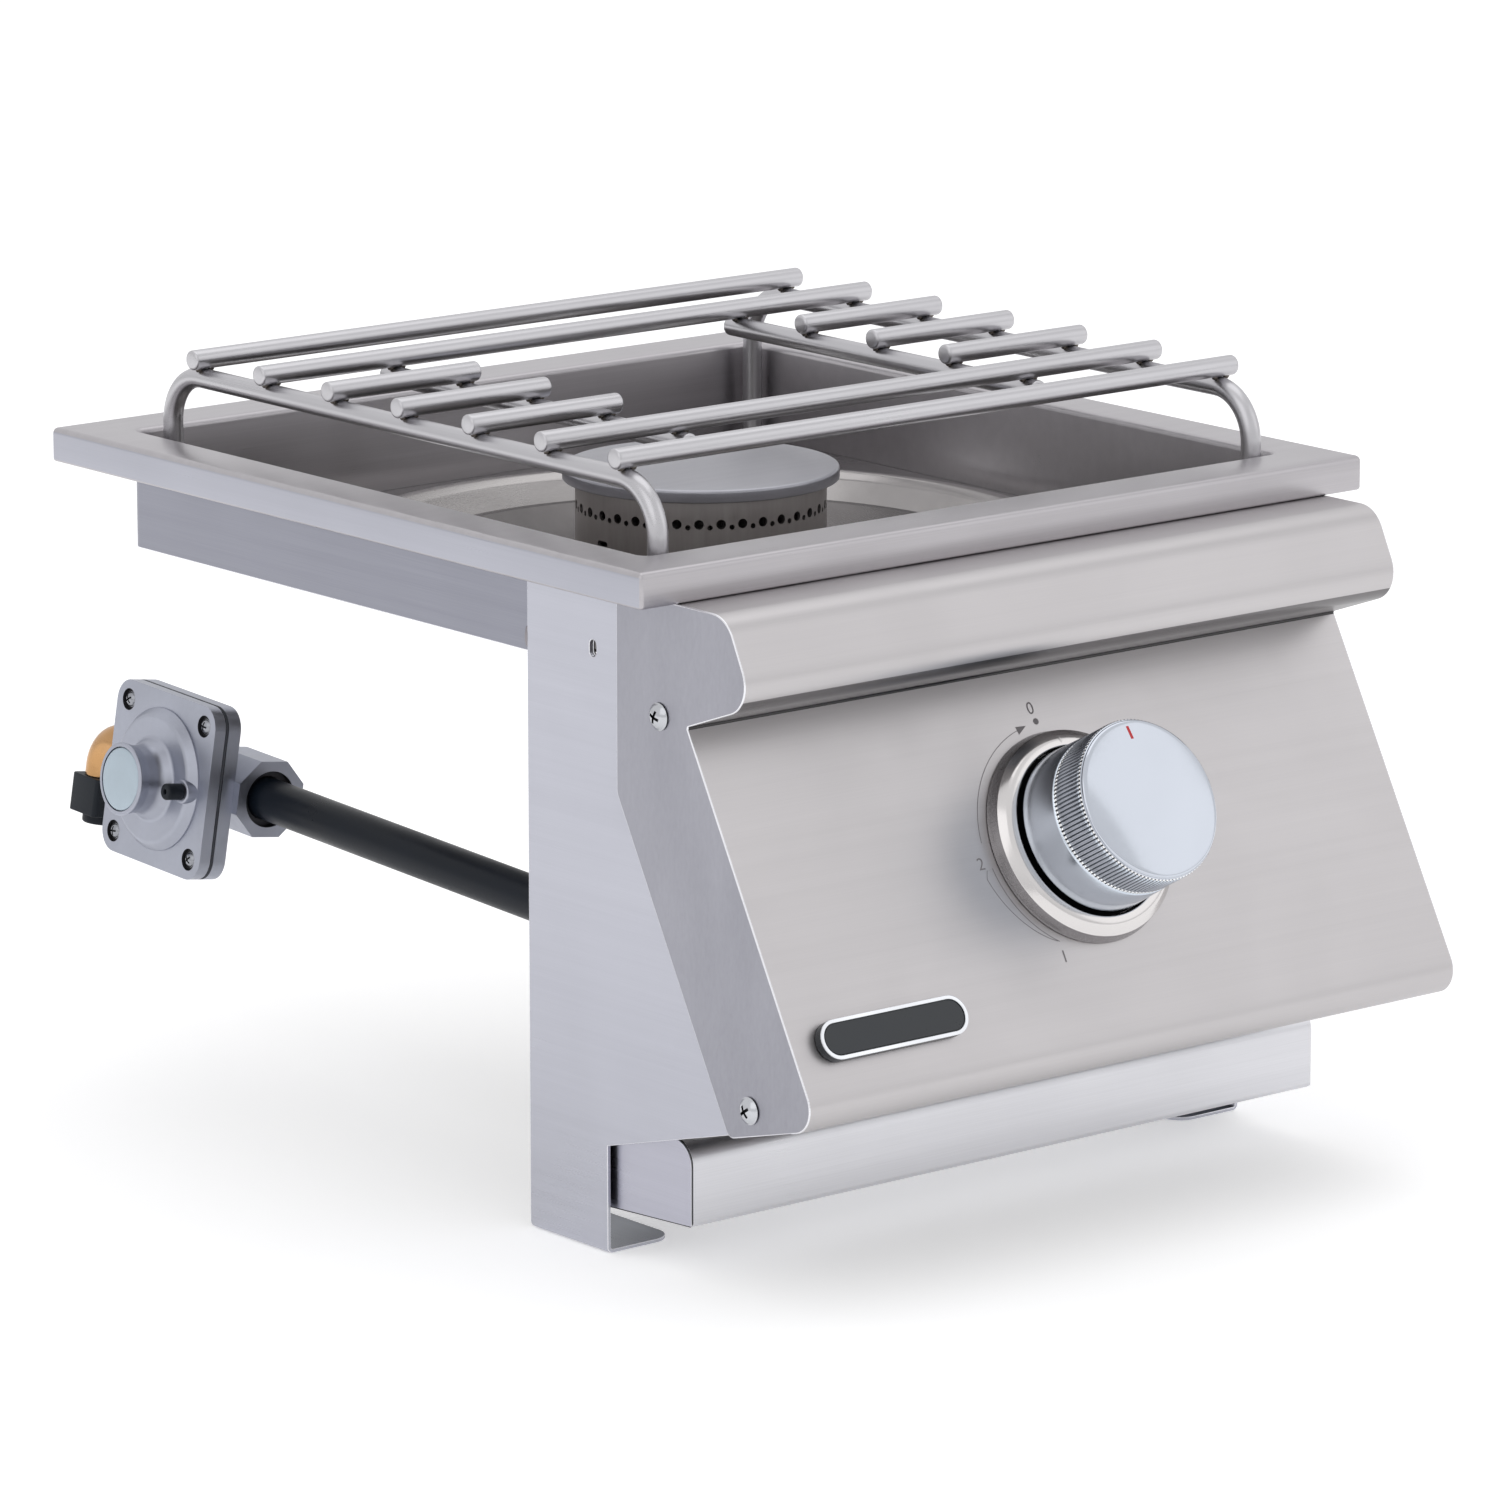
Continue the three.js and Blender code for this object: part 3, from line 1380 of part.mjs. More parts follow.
// The two rows at the front and at the rear run right across; the others stop at the window
function addBars(grate) {
  const shortLength = barHalf - innerRailAside + innerOverhang;
  for (let row = 1; row <= barRows; row += 1) {
    const back = ((barRows + 1) / 2 - row) * barSpacing - rowShift;
    if (row <= 2 || row >= barRows - 1) {
      place(`grate_bar_${row}`, rod(2 * barHalf), rodSteel, grate).position.set(0, back, grateBarHeight);
    } else {
      [-1, 1].forEach((side) => {
        const hand = side < 0 ? 'left' : 'right';
        const bar = place(`grate_bar_${row}_${hand}`, rod(shortLength), rodSteel, grate);
        bar.position.set(side * (barHalf - shortLength / 2), back, grateBarHeight);
      });
    }
  }
}

function addGrate() {
  const grate = new THREE.Group();
  grate.position.set(grateAside, -grateForward, 0);
  burner.add(grate);
  addRails(grate);
  addBars(grate);
}

addBurner();
place('electrode', electrode(), whiteCeramic);
place('electrode_clip', electrodeClip(), brushedSteel);
addPanels();
addControls();
place('lower_front_pan', lowerPan(), brushedSteel);
addGasTrain();
addGrate();

export default burner;
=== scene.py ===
import math

import bmesh
import bpy
from mathutils import Matrix, Vector, noise


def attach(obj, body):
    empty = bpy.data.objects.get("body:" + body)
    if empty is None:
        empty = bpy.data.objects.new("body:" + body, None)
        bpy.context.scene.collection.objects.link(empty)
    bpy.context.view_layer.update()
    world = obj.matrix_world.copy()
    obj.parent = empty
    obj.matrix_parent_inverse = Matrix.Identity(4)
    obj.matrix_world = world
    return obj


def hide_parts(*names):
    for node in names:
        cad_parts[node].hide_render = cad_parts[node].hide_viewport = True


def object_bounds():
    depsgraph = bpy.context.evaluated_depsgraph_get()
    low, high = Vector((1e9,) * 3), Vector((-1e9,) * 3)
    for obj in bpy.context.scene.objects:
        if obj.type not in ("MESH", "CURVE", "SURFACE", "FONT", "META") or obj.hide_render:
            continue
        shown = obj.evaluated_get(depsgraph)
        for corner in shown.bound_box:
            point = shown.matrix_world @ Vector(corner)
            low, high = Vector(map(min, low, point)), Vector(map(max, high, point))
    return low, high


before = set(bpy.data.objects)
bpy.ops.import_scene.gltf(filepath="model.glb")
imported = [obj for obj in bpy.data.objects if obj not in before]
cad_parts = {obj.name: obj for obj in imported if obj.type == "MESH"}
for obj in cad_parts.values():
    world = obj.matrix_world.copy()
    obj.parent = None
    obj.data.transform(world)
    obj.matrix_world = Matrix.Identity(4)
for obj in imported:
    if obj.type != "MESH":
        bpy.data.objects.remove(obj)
cad_low, cad_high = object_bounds()


# ---- Studio
# A long lens ahead of the burner, left of it and a little above. The floor is a pale sheet
# at the height of the panel feet, and three soft boxes light the steel from the sides and above.
def tone(red, green, blue):
    """A paint colour from its display values of 0 to 255."""
    shares = [value / 255 for value in (red, green, blue)]
    return tuple(s / 12.92 if s <= 0.04045 else ((s + 0.055) / 1.055) ** 2.4 for s in shares)


scene = bpy.context.scene
scene.view_settings.view_transform = "Standard"

camera = bpy.data.objects.new("camera", bpy.data.cameras.new("camera"))
camera.data.lens = 198.17
camera.data.sensor_width = 36
camera.data.clip_start, camera.data.clip_end = 0.1, 40
azimuth, elevation = math.radians(-39.45), math.radians(12.89)
camera_aim, camera_distance = Vector((-0.1271, -0.1845, -0.0585)), 3.0046
backwards = Vector((
    math.sin(azimuth) * math.cos(elevation),
    -math.cos(azimuth) * math.cos(elevation),
    math.sin(elevation),
))
camera.location = camera_aim + backwards * camera_distance
camera.rotation_euler = (-backwards).to_track_quat("-Z", "Y").to_euler()
scene.collection.objects.link(camera)
scene.camera = camera


def node(tree, kind, inputs=(), **settings):
    """A shader node with its settings and the plain values of its inputs."""
    made = tree.nodes.new("ShaderNode" + kind)
    for key, value in settings.items():
        setattr(made, key, value)
    for key, value in dict(inputs).items():
        made.inputs[key].default_value = value
    return made


def seen_directly(tree):
    """One for rays of the lens, of reflections and of clear pieces; zero for the light itself."""
    ray = node(tree, "LightPath")
    either, through = (node(tree, "Math", operation="MAXIMUM") for _ in range(2))
    tree.links.new(ray.outputs["Is Camera Ray"], either.inputs[0])
    tree.links.new(ray.outputs["Is Glossy Ray"], either.inputs[1])
    tree.links.new(either.outputs[0], through.inputs[0])
    tree.links.new(ray.outputs["Is Transmission Ray"], through.inputs[1])
    return through.outputs[0]


def new_finish(name, **values):
    """A material and its surface shader, with the values that are the same all over."""
    finish = bpy.data.materials.new(name)
    finish.use_nodes = True
    surface = finish.node_tree.nodes["Principled BSDF"]
    for key, value in values.items():
        surface.inputs[key.replace("_", " ")].default_value = value
    return finish, finish.node_tree, surface


def floor_paint():
    paint, tree, surface = new_finish("pale_floor", Base_Color=(0.93, 0.93, 0.93, 1),
                                      Roughness=0.9, Specular_IOR_Level=0.1,
                                      Emission_Color=(1, 1, 1, 1))
    lift = node(tree, "MapRange", {"To Max": 0.34})
    tree.links.new(seen_directly(tree), lift.inputs["Value"])
    tree.links.new(lift.outputs["Result"], surface.inputs["Emission Strength"])
    return paint


floor_size = 14
floor_height = cad_low.z - 0.0002
floor_mesh = bpy.data.meshes.new("floor")
floor_mesh.from_pydata([(x * floor_size, y * floor_size, floor_height)
                        for x, y in ((-1, -1), (1, -1), (1, 1), (-1, 1))], [], [(0, 1, 2, 3)])
floor = bpy.data.objects.new("floor", floor_mesh)
floor_mesh.materials.append(floor_paint())
scene.collection.objects.link(floor)


def soft_box(name, place, aim, width, height, power):
    lamp = bpy.data.lights.new(name, "AREA")
    lamp.shape = "RECTANGLE"
    lamp.size, lamp.size_y = width, height
    lamp.energy = power
    holder = bpy.data.objects.new(name, lamp)
    holder.location = place
    holder.rotation_euler = (Vector(aim) - Vector(place)).to_track_quat("-Z", "Y").to_euler()
    scene.collection.objects.link(holder)


soft_box("left_box", (-2.6, -1.2, 1.9), (0, 0, -0.05), 2.6, 2.6, 9)
soft_box("top_box", (0.7, 0.5, 3.0), (0, 0, 0), 3.0, 3.0, 15)
soft_box("right_box", (2.6, -2.4, 1.5), (0, -0.1, -0.1), 2.2, 2.6, 6)


def studio_air():
    """White to the lens; in reflections it falls off softly to grey low round the sides."""
    world = bpy.data.worlds.new("studio")
    scene.world = world
    world.use_nodes = True
    tree = world.node_tree
    sky = tree.nodes["Background"]
    place, parts, ramp = (node(tree, kind) for kind in ("TexCoord", "SeparateXYZ", "ValToRGB"))
    low, high = ramp.color_ramp.elements
    low.position, low.color = 0.45, (0.72, 0.72, 0.73, 1)
    high.position, high.color = 0.62, (0.9, 0.9, 0.91, 1)
    half = node(tree, "Math", {1: 0.5, 2: 0.5}, operation="MULTIPLY_ADD")
    ray = node(tree, "LightPath")
    pick = node(tree, "Mix", {"B": (1, 1, 1, 1)}, data_type="RGBA")
    level = node(tree, "MapRange", {"To Min": 0.85, "To Max": 1})
    link = tree.links.new
    link(place.outputs["Generated"], parts.inputs[0])
    link(parts.outputs["Z"], half.inputs[0])
    link(half.outputs[0], ramp.inputs["Fac"])
    link(ramp.outputs["Color"], pick.inputs["A"])
    link(ray.outputs["Is Camera Ray"], pick.inputs["Factor"])
    link(pick.outputs["Result"], sky.inputs["Color"])
    link(seen_directly(tree), level.inputs["Value"])
    link(level.outputs["Result"], sky.inputs["Strength"])


studio_air()


# ---- Top frame
# The wide rim and the pan walls: one blank of 1.2 mm stainless, folded over the worktop edge,
# welded and ground at its four corners, and brushed along the length of each side.
MM = 0.001
sheet = 1.2
bend = 2.4
hair = 0.3
rim_half_x, rim_half_y, rim_height = 178, 184.5, 13.5
rim_side_face, rim_lip = 22.3, 12
opening_x, opening_y, wall_drop = 155.7, 159.5, 33
rim_corner, wall_corner = 1.8, 4


def rounded(corners, steps=8, closed=False):
    """Points of a route whose corners (place and radius) are arcs."""
    points = []
    last = len(corners) - 1
    for i, (place, radius) in enumerate(corners):
        place = Vector(place)
        if not radius or (not closed and i in (0, last)):
            points.append(place)
            continue
        before = (Vector(corners[i - 1][0]) - place).normalized()
        after = (Vector(corners[(i + 1) % len(corners)][0]) - place).normalized()
        half = before.angle(after) / 2
        centre = place + (before + after).normalized() * radius / math.sin(half)
        start = place + before * radius / math.tan(half) - centre
        end = place + after * radius / math.tan(half) - centre
        sweep = math.pi - 2 * half
        for step in range(steps + 1):
            share = step / steps
            points.append(centre + (start * math.sin((1 - share) * sweep)
                                    + end * math.sin(share * sweep)) / math.sin(sweep))
    return points


def flat(*corners, steps=8, closed=False):
    """A rounded route drawn in a plane; each corner is (u, v) or (u, v, radius)."""
    spots = [((c[0], c[1], 0), c[2] if len(c) > 2 else 0) for c in corners]
    return [(p.x, p.y) for p in rounded(spots, steps, closed)]


def back_face(face, thickness):
    """The other face of a bent sheet, on the right-hand side of the route of the first."""
    points = [Vector(p) for p in face]
    last = len(points) - 1
    other = []
    for i, point in enumerate(points):
        ahead = (points[min(i + 1, last)] - points[min(i, last - 1)]).normalized()
        behind = (points[max(i, 1)] - points[max(i - 1, 0)]).normalized()
        mitre = Vector((behind.y + ahead.y, -behind.x - ahead.x)).normalized()
        reach = thickness / (mitre.x * behind.y - mitre.y * behind.x)
        other.append(tuple(point + mitre * reach))
    return other


def loop_of(rings, closed=True):
    """Quads between rings of equal counts; a closed set also joins the last to the first."""
    count = len(rings[0])
    points = [tuple(p) for ring in rings for p in ring]
    faces = []
    for i in range(len(rings) if closed else len(rings) - 1):
        here, there = i * count, (i + 1) % len(rings) * count
        for j in range(count):
            beside = (j + 1) % count
            faces.append((here + j, here + beside, there + beside, there + j))
    return points, faces


def piece(name, form, finish, body, *nodes, at=None, sharp=32, slot=None):
    """A mesh in millimetres becomes an object of the burner in place of CAD nodes."""
    mesh = bpy.data.meshes.new(name)
    mesh.from_pydata([tuple(p) for p in form[0]], [], form[1])
    work = bmesh.new()
    work.from_mesh(mesh)
    bmesh.ops.remove_doubles(work, verts=work.verts, dist=0.0005)
    bmesh.ops.recalc_face_normals(work, faces=work.faces)
    work.to_mesh(mesh)
    work.free()
    mesh.transform(Matrix.Scale(MM, 4) @ (at or Matrix()))
    mesh.polygons.foreach_set("use_smooth", [True] * len(mesh.polygons))
    if sharp:
        mesh.set_sharp_from_angle(angle=math.radians(sharp))
    mesh.materials.append(finish)
    item = bpy.data.objects.new(name, mesh)
    scene.collection.objects.link(item)
    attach(item, body)
    if nodes:
        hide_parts(*nodes)
    return item


def eased(item, width, segments=2, angle=34, finish=None):
    """Rounds the sharp edges, as a file or a press leaves them; finish is that of the edge."""
    for edge in item.data.edges:
        edge.use_edge_sharp = False
    bevel = item.modifiers.new("eased", "BEVEL")
    bevel.width = width * MM
    bevel.segments = segments
    bevel.limit_method = "ANGLE"
    bevel.angle_limit = math.radians(angle)
    bevel.harden_normals = True
    bevel.use_clamp_overlap = True
    if finish:
        item.data.materials.append(finish)
        bevel.material = len(item.data.materials) - 1
    return item


def socket(tree, direction, kind, name, value=None):
    made = tree.interface.new_socket(name=name, in_out=direction, socket_type="NodeSocket" + kind)
    if value is not None:
        made.default_value = value


def brushed_grain():
    """Fine lines along one way, broader bands of them, and a few stray scratches."""
    tree = bpy.data.node_groups.new("brushed_grain", "ShaderNodeTree")
    socket(tree, "INPUT", "Vector", "Stretch", (8, 900, 900))
    socket(tree, "OUTPUT", "Float", "Lines")
    socket(tree, "OUTPUT", "Float", "Bands")
    socket(tree, "OUTPUT", "Float", "Scratches")
    ins, outs = node(tree, "TexCoord"), tree.nodes.new("NodeGroupOutput")
    given = tree.nodes.new("NodeGroupInput")
    stretched = node(tree, "VectorMath", operation="MULTIPLY")
    lines = node(tree, "TexNoise", {"Scale": 1, "Detail": 5, "Roughness": 0.65})
    bands = node(tree, "TexNoise", {"Scale": 0.06, "Detail": 3})
    tilt = node(tree, "Mapping", {"Rotation": (0.5, 0.35, 0.6), "Scale": (30, 1500, 1500)})
    stray = node(tree, "TexNoise", {"Scale": 1, "Detail": 1})
    picked = node(tree, "MapRange", {"From Min": 0.74, "From Max": 0.8})
    link = tree.links.new
    link(ins.outputs["Object"], stretched.inputs[0])
    link(given.outputs["Stretch"], stretched.inputs[1])
    link(stretched.outputs[0], lines.inputs["Vector"])
    link(stretched.outputs[0], bands.inputs["Vector"])
    link(ins.outputs["Object"], tilt.inputs["Vector"])
    link(tilt.outputs[0], stray.inputs["Vector"])
    link(stray.outputs["Fac"], picked.inputs["Value"])
    link(lines.outputs["Fac"], outs.inputs["Lines"])
    link(bands.outputs["Fac"], outs.inputs["Bands"])
    link(picked.outputs["Result"], outs.inputs["Scratches"])
    return tree


def handling():
    """Soft patches where hands and cloths have been, and fine grit."""
    tree = bpy.data.node_groups.new("handling", "ShaderNodeTree")
    socket(tree, "INPUT", "Float", "Patch Scale", 14.0)
    socket(tree, "INPUT", "Float", "Grit Scale", 900.0)
    socket(tree, "OUTPUT", "Float", "Patches")
    socket(tree, "OUTPUT", "Float", "Grit")
    given, outs = tree.nodes.new("NodeGroupInput"), tree.nodes.new("NodeGroupOutput")
    place = node(tree, "TexCoord")
    cloud = node(tree, "TexNoise", {"Detail": 4, "Distortion": 0.6})
    grit = node(tree, "TexNoise", {"Detail": 3})
    link = tree.links.new
    link(place.outputs["Object"], cloud.inputs["Vector"])
    link(place.outputs["Object"], grit.inputs["Vector"])
    link(given.outputs["Patch Scale"], cloud.inputs["Scale"])
    link(given.outputs["Grit Scale"], grit.inputs["Scale"])
    link(cloud.outputs["Fac"], outs.inputs["Patches"])
    link(grit.outputs["Fac"], outs.inputs["Grit"])
    return tree


grain_group = brushed_grain()
handling_group = handling()


def between(tree, value, low, high, start=0.3, end=0.7):
    """Maps a mask to a range of numbers."""
    ranged = node(tree, "MapRange",
                  {"From Min": start, "From Max": end, "To Min": low, "To Max": high})
    tree.links.new(value, ranged.inputs["Value"])
    return ranged.outputs["Result"]


def sum_of(tree, first, second):
    added = node(tree, "Math", operation="ADD")
    tree.links.new(first, added.inputs[0])
    tree.links.new(second, added.inputs[1])
    return added.outputs[0]


def blend_of(tree, mask, first, second):
    mixed = node(tree, "Mix", {"A": (*first, 1), "B": (*second, 1)}, data_type="RGBA")
    tree.links.new(mask, mixed.inputs["Factor"])
    return mixed.outputs["Result"]


def bumped(tree, height, depth):
    """Relief from a value that changes over the surface; depth is in millimetres."""
    bump = node(tree, "Bump", {"Strength": 1, "Distance": depth * MM})
    tree.links.new(height, bump.inputs["Height"])
    return bump.outputs["Normal"]


def brushed(name, dark, light, stretch, roughness=(0.28, 0.36), depth=0.004):
    """Brushed stainless: streaked tone, streaked roughness and a very low relief of lines."""
    finish, tree, surface = new_finish(name, Metallic=1)
    grain = node(tree, "Group", {"Stretch": stretch}, node_tree=grain_group)
    marks = node(tree, "Group", node_tree=handling_group)
    tone_mask = sum_of(tree, between(tree, grain.outputs["Lines"], 0, 0.6),
                       between(tree, grain.outputs["Bands"], 0, 0.4))
    tree.links.new(blend_of(tree, tone_mask, dark, light), surface.inputs["Base Color"])
    low, high = roughness
    rough = sum_of(tree, between(tree, grain.outputs["Lines"], low, high),
                   between(tree, marks.outputs["Patches"], -0.03, 0.05))
    tree.links.new(rough, surface.inputs["Roughness"])
    relief = sum_of(tree, grain.outputs["Lines"],
                    between(tree, grain.outputs["Scratches"], 0, -0.5, 0, 1))
    tree.links.new(bumped(tree, relief, depth), surface.inputs["Normal"])
    return finish


along_x = (14, 3200, 3200)
along_y = (3200, 14, 3200)
rim_steel = brushed("rim_steel", tone(176, 173, 176), tone(189, 186, 189), along_x)
# Painted shade: bluish, darker copies of the rim steel for the side faces, in dimmer, cooler light.
rim_side_painted_shade = brushed("rim_side_painted_shade", tone(172, 173, 182), tone(182, 183, 192), along_y)
wall_side_painted_shade = brushed("wall_side_painted_shade", tone(138, 139, 149), tone(152, 153, 163), along_y)
# Rounded edges: a much lighter steel, partly their ground finish and partly painted highlight.
ground_edge_highlight = brushed("ground_edge_highlight", tone(226, 226, 230), tone(238, 238, 242), along_x, (0.2, 0.28))


def rectangle_ring(half_x, half_y, radius, height):
    spots = [(half_x, half_y), (-half_x, half_y), (-half_x, -half_y), (half_x, -half_y)]
    return rounded([((x, y, height), radius) for x, y in spots], steps=6, closed=True)


def top_frame_form():
    face = flat((0, -wall_drop), (0, rim_height, bend), (rim_side_face, rim_height, bend),
                (rim_side_face, 0, sheet + 0.1), (rim_side_face - rim_lip, 0), steps=5)
    rings = []
    for out, height in face + back_face(face, sheet)[::-1]:
        from_outer = rim_side_face - out
        is_wall = out < sheet + bend
        half_y = opening_y + out if is_wall else rim_half_y - from_outer
        radius = wall_corner + out if is_wall else max(rim_corner - from_outer, hair)
        rings.append(rectangle_ring(opening_x + out, half_y, radius, height))
    return loop_of(rings)


top_frame = piece("top_frame_folded", top_frame_form(), rim_steel, "frame", "top_frame",
                  slot="brushed_steel")
top_frame.data.materials.append(rim_side_painted_shade)
top_frame.data.materials.append(wall_side_painted_shade)
# Painted shade: the rim's outer sides take the bluish copy, the pan walls under the rim the darker
# one.
for face in top_frame.data.polygons:
    if abs(face.normal.x) > 0.9 and abs(face.center.x) > (opening_x + sheet / 2) * MM:
        face.material_index = 1 if abs(face.center.x) > (rim_half_x - sheet) * MM else 2


# ---- Pan floor and drip bowl
# The pan's floor is pressed with a round raised bead. The bowl under the burner is a separate
# pressing on the bracket, and air rises through the round gap between the two.
floor_drop, floor_lip = 26, 9.5
floor_hole, bead_middle, bead_half, bead_rise = 133, 143, 6, 3.5
bead_foot, bead_crest, bead_shine = 2, 5, 4
bowl_radius, bowl_rim, bowl_rim_drop, bowl_rim_bend = 121, 3.5, 31.5, 2
bowl_flat, bowl_drop, bowl_floor_bend = 86, 47, 9
bowl_collar, collar_rise, collar_bend = 28, 4, 1.5
electrode_at, electrode_hole = (56, 34), 3.5
# Painted shade: the pan floor and the drip bowl are a dark steel for the shade inside the pan.
pan_steel = brushed("pan_steel", tone(104, 100, 99), tone(118, 115, 114), along_x, (0.2, 0.26))
# Painted highlight: a much lighter steel for the bead and the floor's lip.
pan_bead_painted_highlight = brushed("pan_bead_painted_highlight", tone(164, 161, 160), tone(176, 173, 172), along_x,
                     (0.22, 0.26), 0.001)


def turned(profile, sides=96, closed=False):
    """A profile of (radius, height) turned about the vertical."""
    points, rings = [], []
    for radius, height in profile:
        at_axis = radius < 0.0001
        count = 1 if at_axis else sides
        rings.append([len(points) + i for i in range(count)])
        for i in range(count):
            angle = 2 * math.pi * i / sides
            points.append((radius * math.cos(angle), radius * math.sin(angle), height))
    if closed:
        rings.append(rings[0])
    faces = []
    for low, high in zip(rings, rings[1:]):
        for i in range(max(len(low), len(high))):
            after = i + 1
            corners = (low[i % len(low)], low[after % len(low)],
                       high[after % len(high)], high[i % len(high)])
            corners = list(dict.fromkeys(corners))
            if len(corners) > 2:
                faces.append(corners)
    return points, faces


def turned_solid(sides, *corners, steps=4):
    """A full round form: a profile of rounded corners that closes on the axis at both ends."""
    profile = flat(*corners, steps=steps)
    return turned([(0, profile[0][1]), *profile, (0, profile[-1][1])], sides)


def settled(item):
    """Makes the modifiers' result the piece's own mesh."""
    bpy.context.view_layer.update()
    graph = bpy.context.evaluated_depsgraph_get()
    mesh = bpy.data.meshes.new_from_object(item.evaluated_get(graph))
    item.modifiers.clear()
    item.data = mesh


def combined(item, form, at, operation):
    """Cuts a placed form out of the piece, or casts it on as one solid."""
    mesh = bpy.data.meshes.new("tool")
    mesh.from_pydata([tuple(p) for p in form[0]], [], form[1])
    mesh.transform(Matrix.Scale(MM, 4) @ at)
    work = bmesh.new()
    work.from_mesh(mesh)
    bmesh.ops.recalc_face_normals(work, faces=work.faces)
    work.to_mesh(mesh)
    work.free()
    tool = bpy.data.objects.new("tool", mesh)
    scene.collection.objects.link(tool)
    change = item.modifiers.new("change", "BOOLEAN")
    change.object, change.operation, change.solver = tool, operation, "EXACT"
    settled(item)
    bpy.data.objects.remove(tool)


def bored(item, form, at):
    combined(item, form, at, "DIFFERENCE")


def circle(radius, height, sides):
    return [(radius * math.cos(2 * math.pi * i / sides),
             radius * math.sin(2 * math.pi * i / sides), height) for i in range(sides)]


def floor_form():
    sides = 144
    half_x, half_y = opening_x - hair, opening_y - hair
    bead_start, bead_end = bead_middle - bead_half, bead_middle + bead_half
    face = flat((floor_hole, -floor_drop - floor_lip), (bead_start, -floor_drop, bead_foot),
                (bead_middle, -floor_drop + bead_rise, bead_crest),
                (bead_end, -floor_drop, bead_foot), (bead_end + 3, -floor_drop), steps=5)

    def edge_ring(height):
        """Meets the pan walls; the four points nearest to the corners go right into them."""
        ring = []
        for i in range(sides):
            angle = 2 * math.pi * i / sides
            reach = min(half_x / max(abs(math.cos(angle)), 1e-9),
                        half_y / max(abs(math.sin(angle)), 1e-9))
            ring.append((reach * math.cos(angle), reach * math.sin(angle), height))
        nearest = round(math.atan2(opening_y, opening_x) / (2 * math.pi) * sides)
        for i in (nearest, sides // 2 - nearest, sides // 2 + nearest, sides - nearest):
            x, y, _ = ring[i]
            ring[i] = (math.copysign(half_x, x), math.copysign(half_y, y), height)
        return ring

    rings = [circle(*spot, sides) for spot in face] + [edge_ring(-floor_drop)]
    rings += [edge_ring(-floor_drop - sheet)]
    rings += [circle(*spot, sides) for spot in back_face(face, sheet)[::-1]]
    return loop_of(rings)


def bowl_form():
    face = flat((bowl_collar, -bowl_drop + collar_rise), (bowl_collar, -bowl_drop, collar_bend),
                (bowl_flat, -bowl_drop, bowl_floor_bend),
                (bowl_radius - bowl_rim, -bowl_rim_drop, bowl_rim_bend),
                (bowl_radius, -bowl_rim_drop), steps=6)
    return turned(face + back_face(face, sheet)[::-1], 120, True)


pan_floor = piece("pan_floor_pressed", floor_form(), pan_steel, "frame", "pan_floor",
                  slot="pan_steel")
pan_floor.data.materials.append(pan_bead_painted_highlight)
# Painted highlight: the bead's upper faces and the lip inside it take the lighter steel.
for face in pan_floor.data.polygons:
    across = math.hypot(face.center.x, face.center.y) / MM
    face.material_index = int(face.normal.z > -0.3 and across < bead_middle + bead_shine)
# Painted shade: the bowl's dark steel stands for the shade under the pan floor.
bowl_shaded_steel = brushed("bowl_shaded_steel", tone(96, 93, 93), tone(110, 107, 107), along_y, (0.2, 0.26))
bowl = piece("drip_bowl_pressed", bowl_form(), bowl_shaded_steel, "frame", "drip_bowl", slot="pan_steel")
bored(bowl, turned_solid(32, (electrode_hole, -60), (electrode_hole, 0)),
      Matrix.Translation((*electrode_at, 0)))


# ---- Burner head and cap
# A deep-drawn stainless drum with a ring of ports, large and small by turns, in which the
# small ones light the large. The cap is a thick disc that overhangs the drum and lifts off.
drum_radius, drum_wall, drum_top, drum_depth = 49, 1.5, -0.9, 41
drum_bottom = drum_top - drum_depth
neck_radius, neck_shoulder, neck_bottom, neck_bore = 20, 24, -58, 16.3
bracket_top = -bowl_drop - sheet - hair
ports, large_port, small_port, port_height, small_lower = 72, 1.9, 1.05, -9.9, 1.2
band_low, band_high = -13.9, -7.7
slot_length, slot_height, slot_drop, slot_reach = 6, 2.4, 21, (3, 4)
cap_radius, cap_under, cap_thick = 54, -0.6, 5
cap_spigot, spigot_depth, cap_flat = 43.5, 4, 40
burner_steel = brushed("burner_steel", tone(152, 147, 145), tone(170, 166, 164),
                       (500, 500, 40), (0.36, 0.46), 0.004)
cap_steel = brushed("cap_steel", tone(160, 160, 167), tone(174, 174, 180), along_x, (0.3, 0.38))


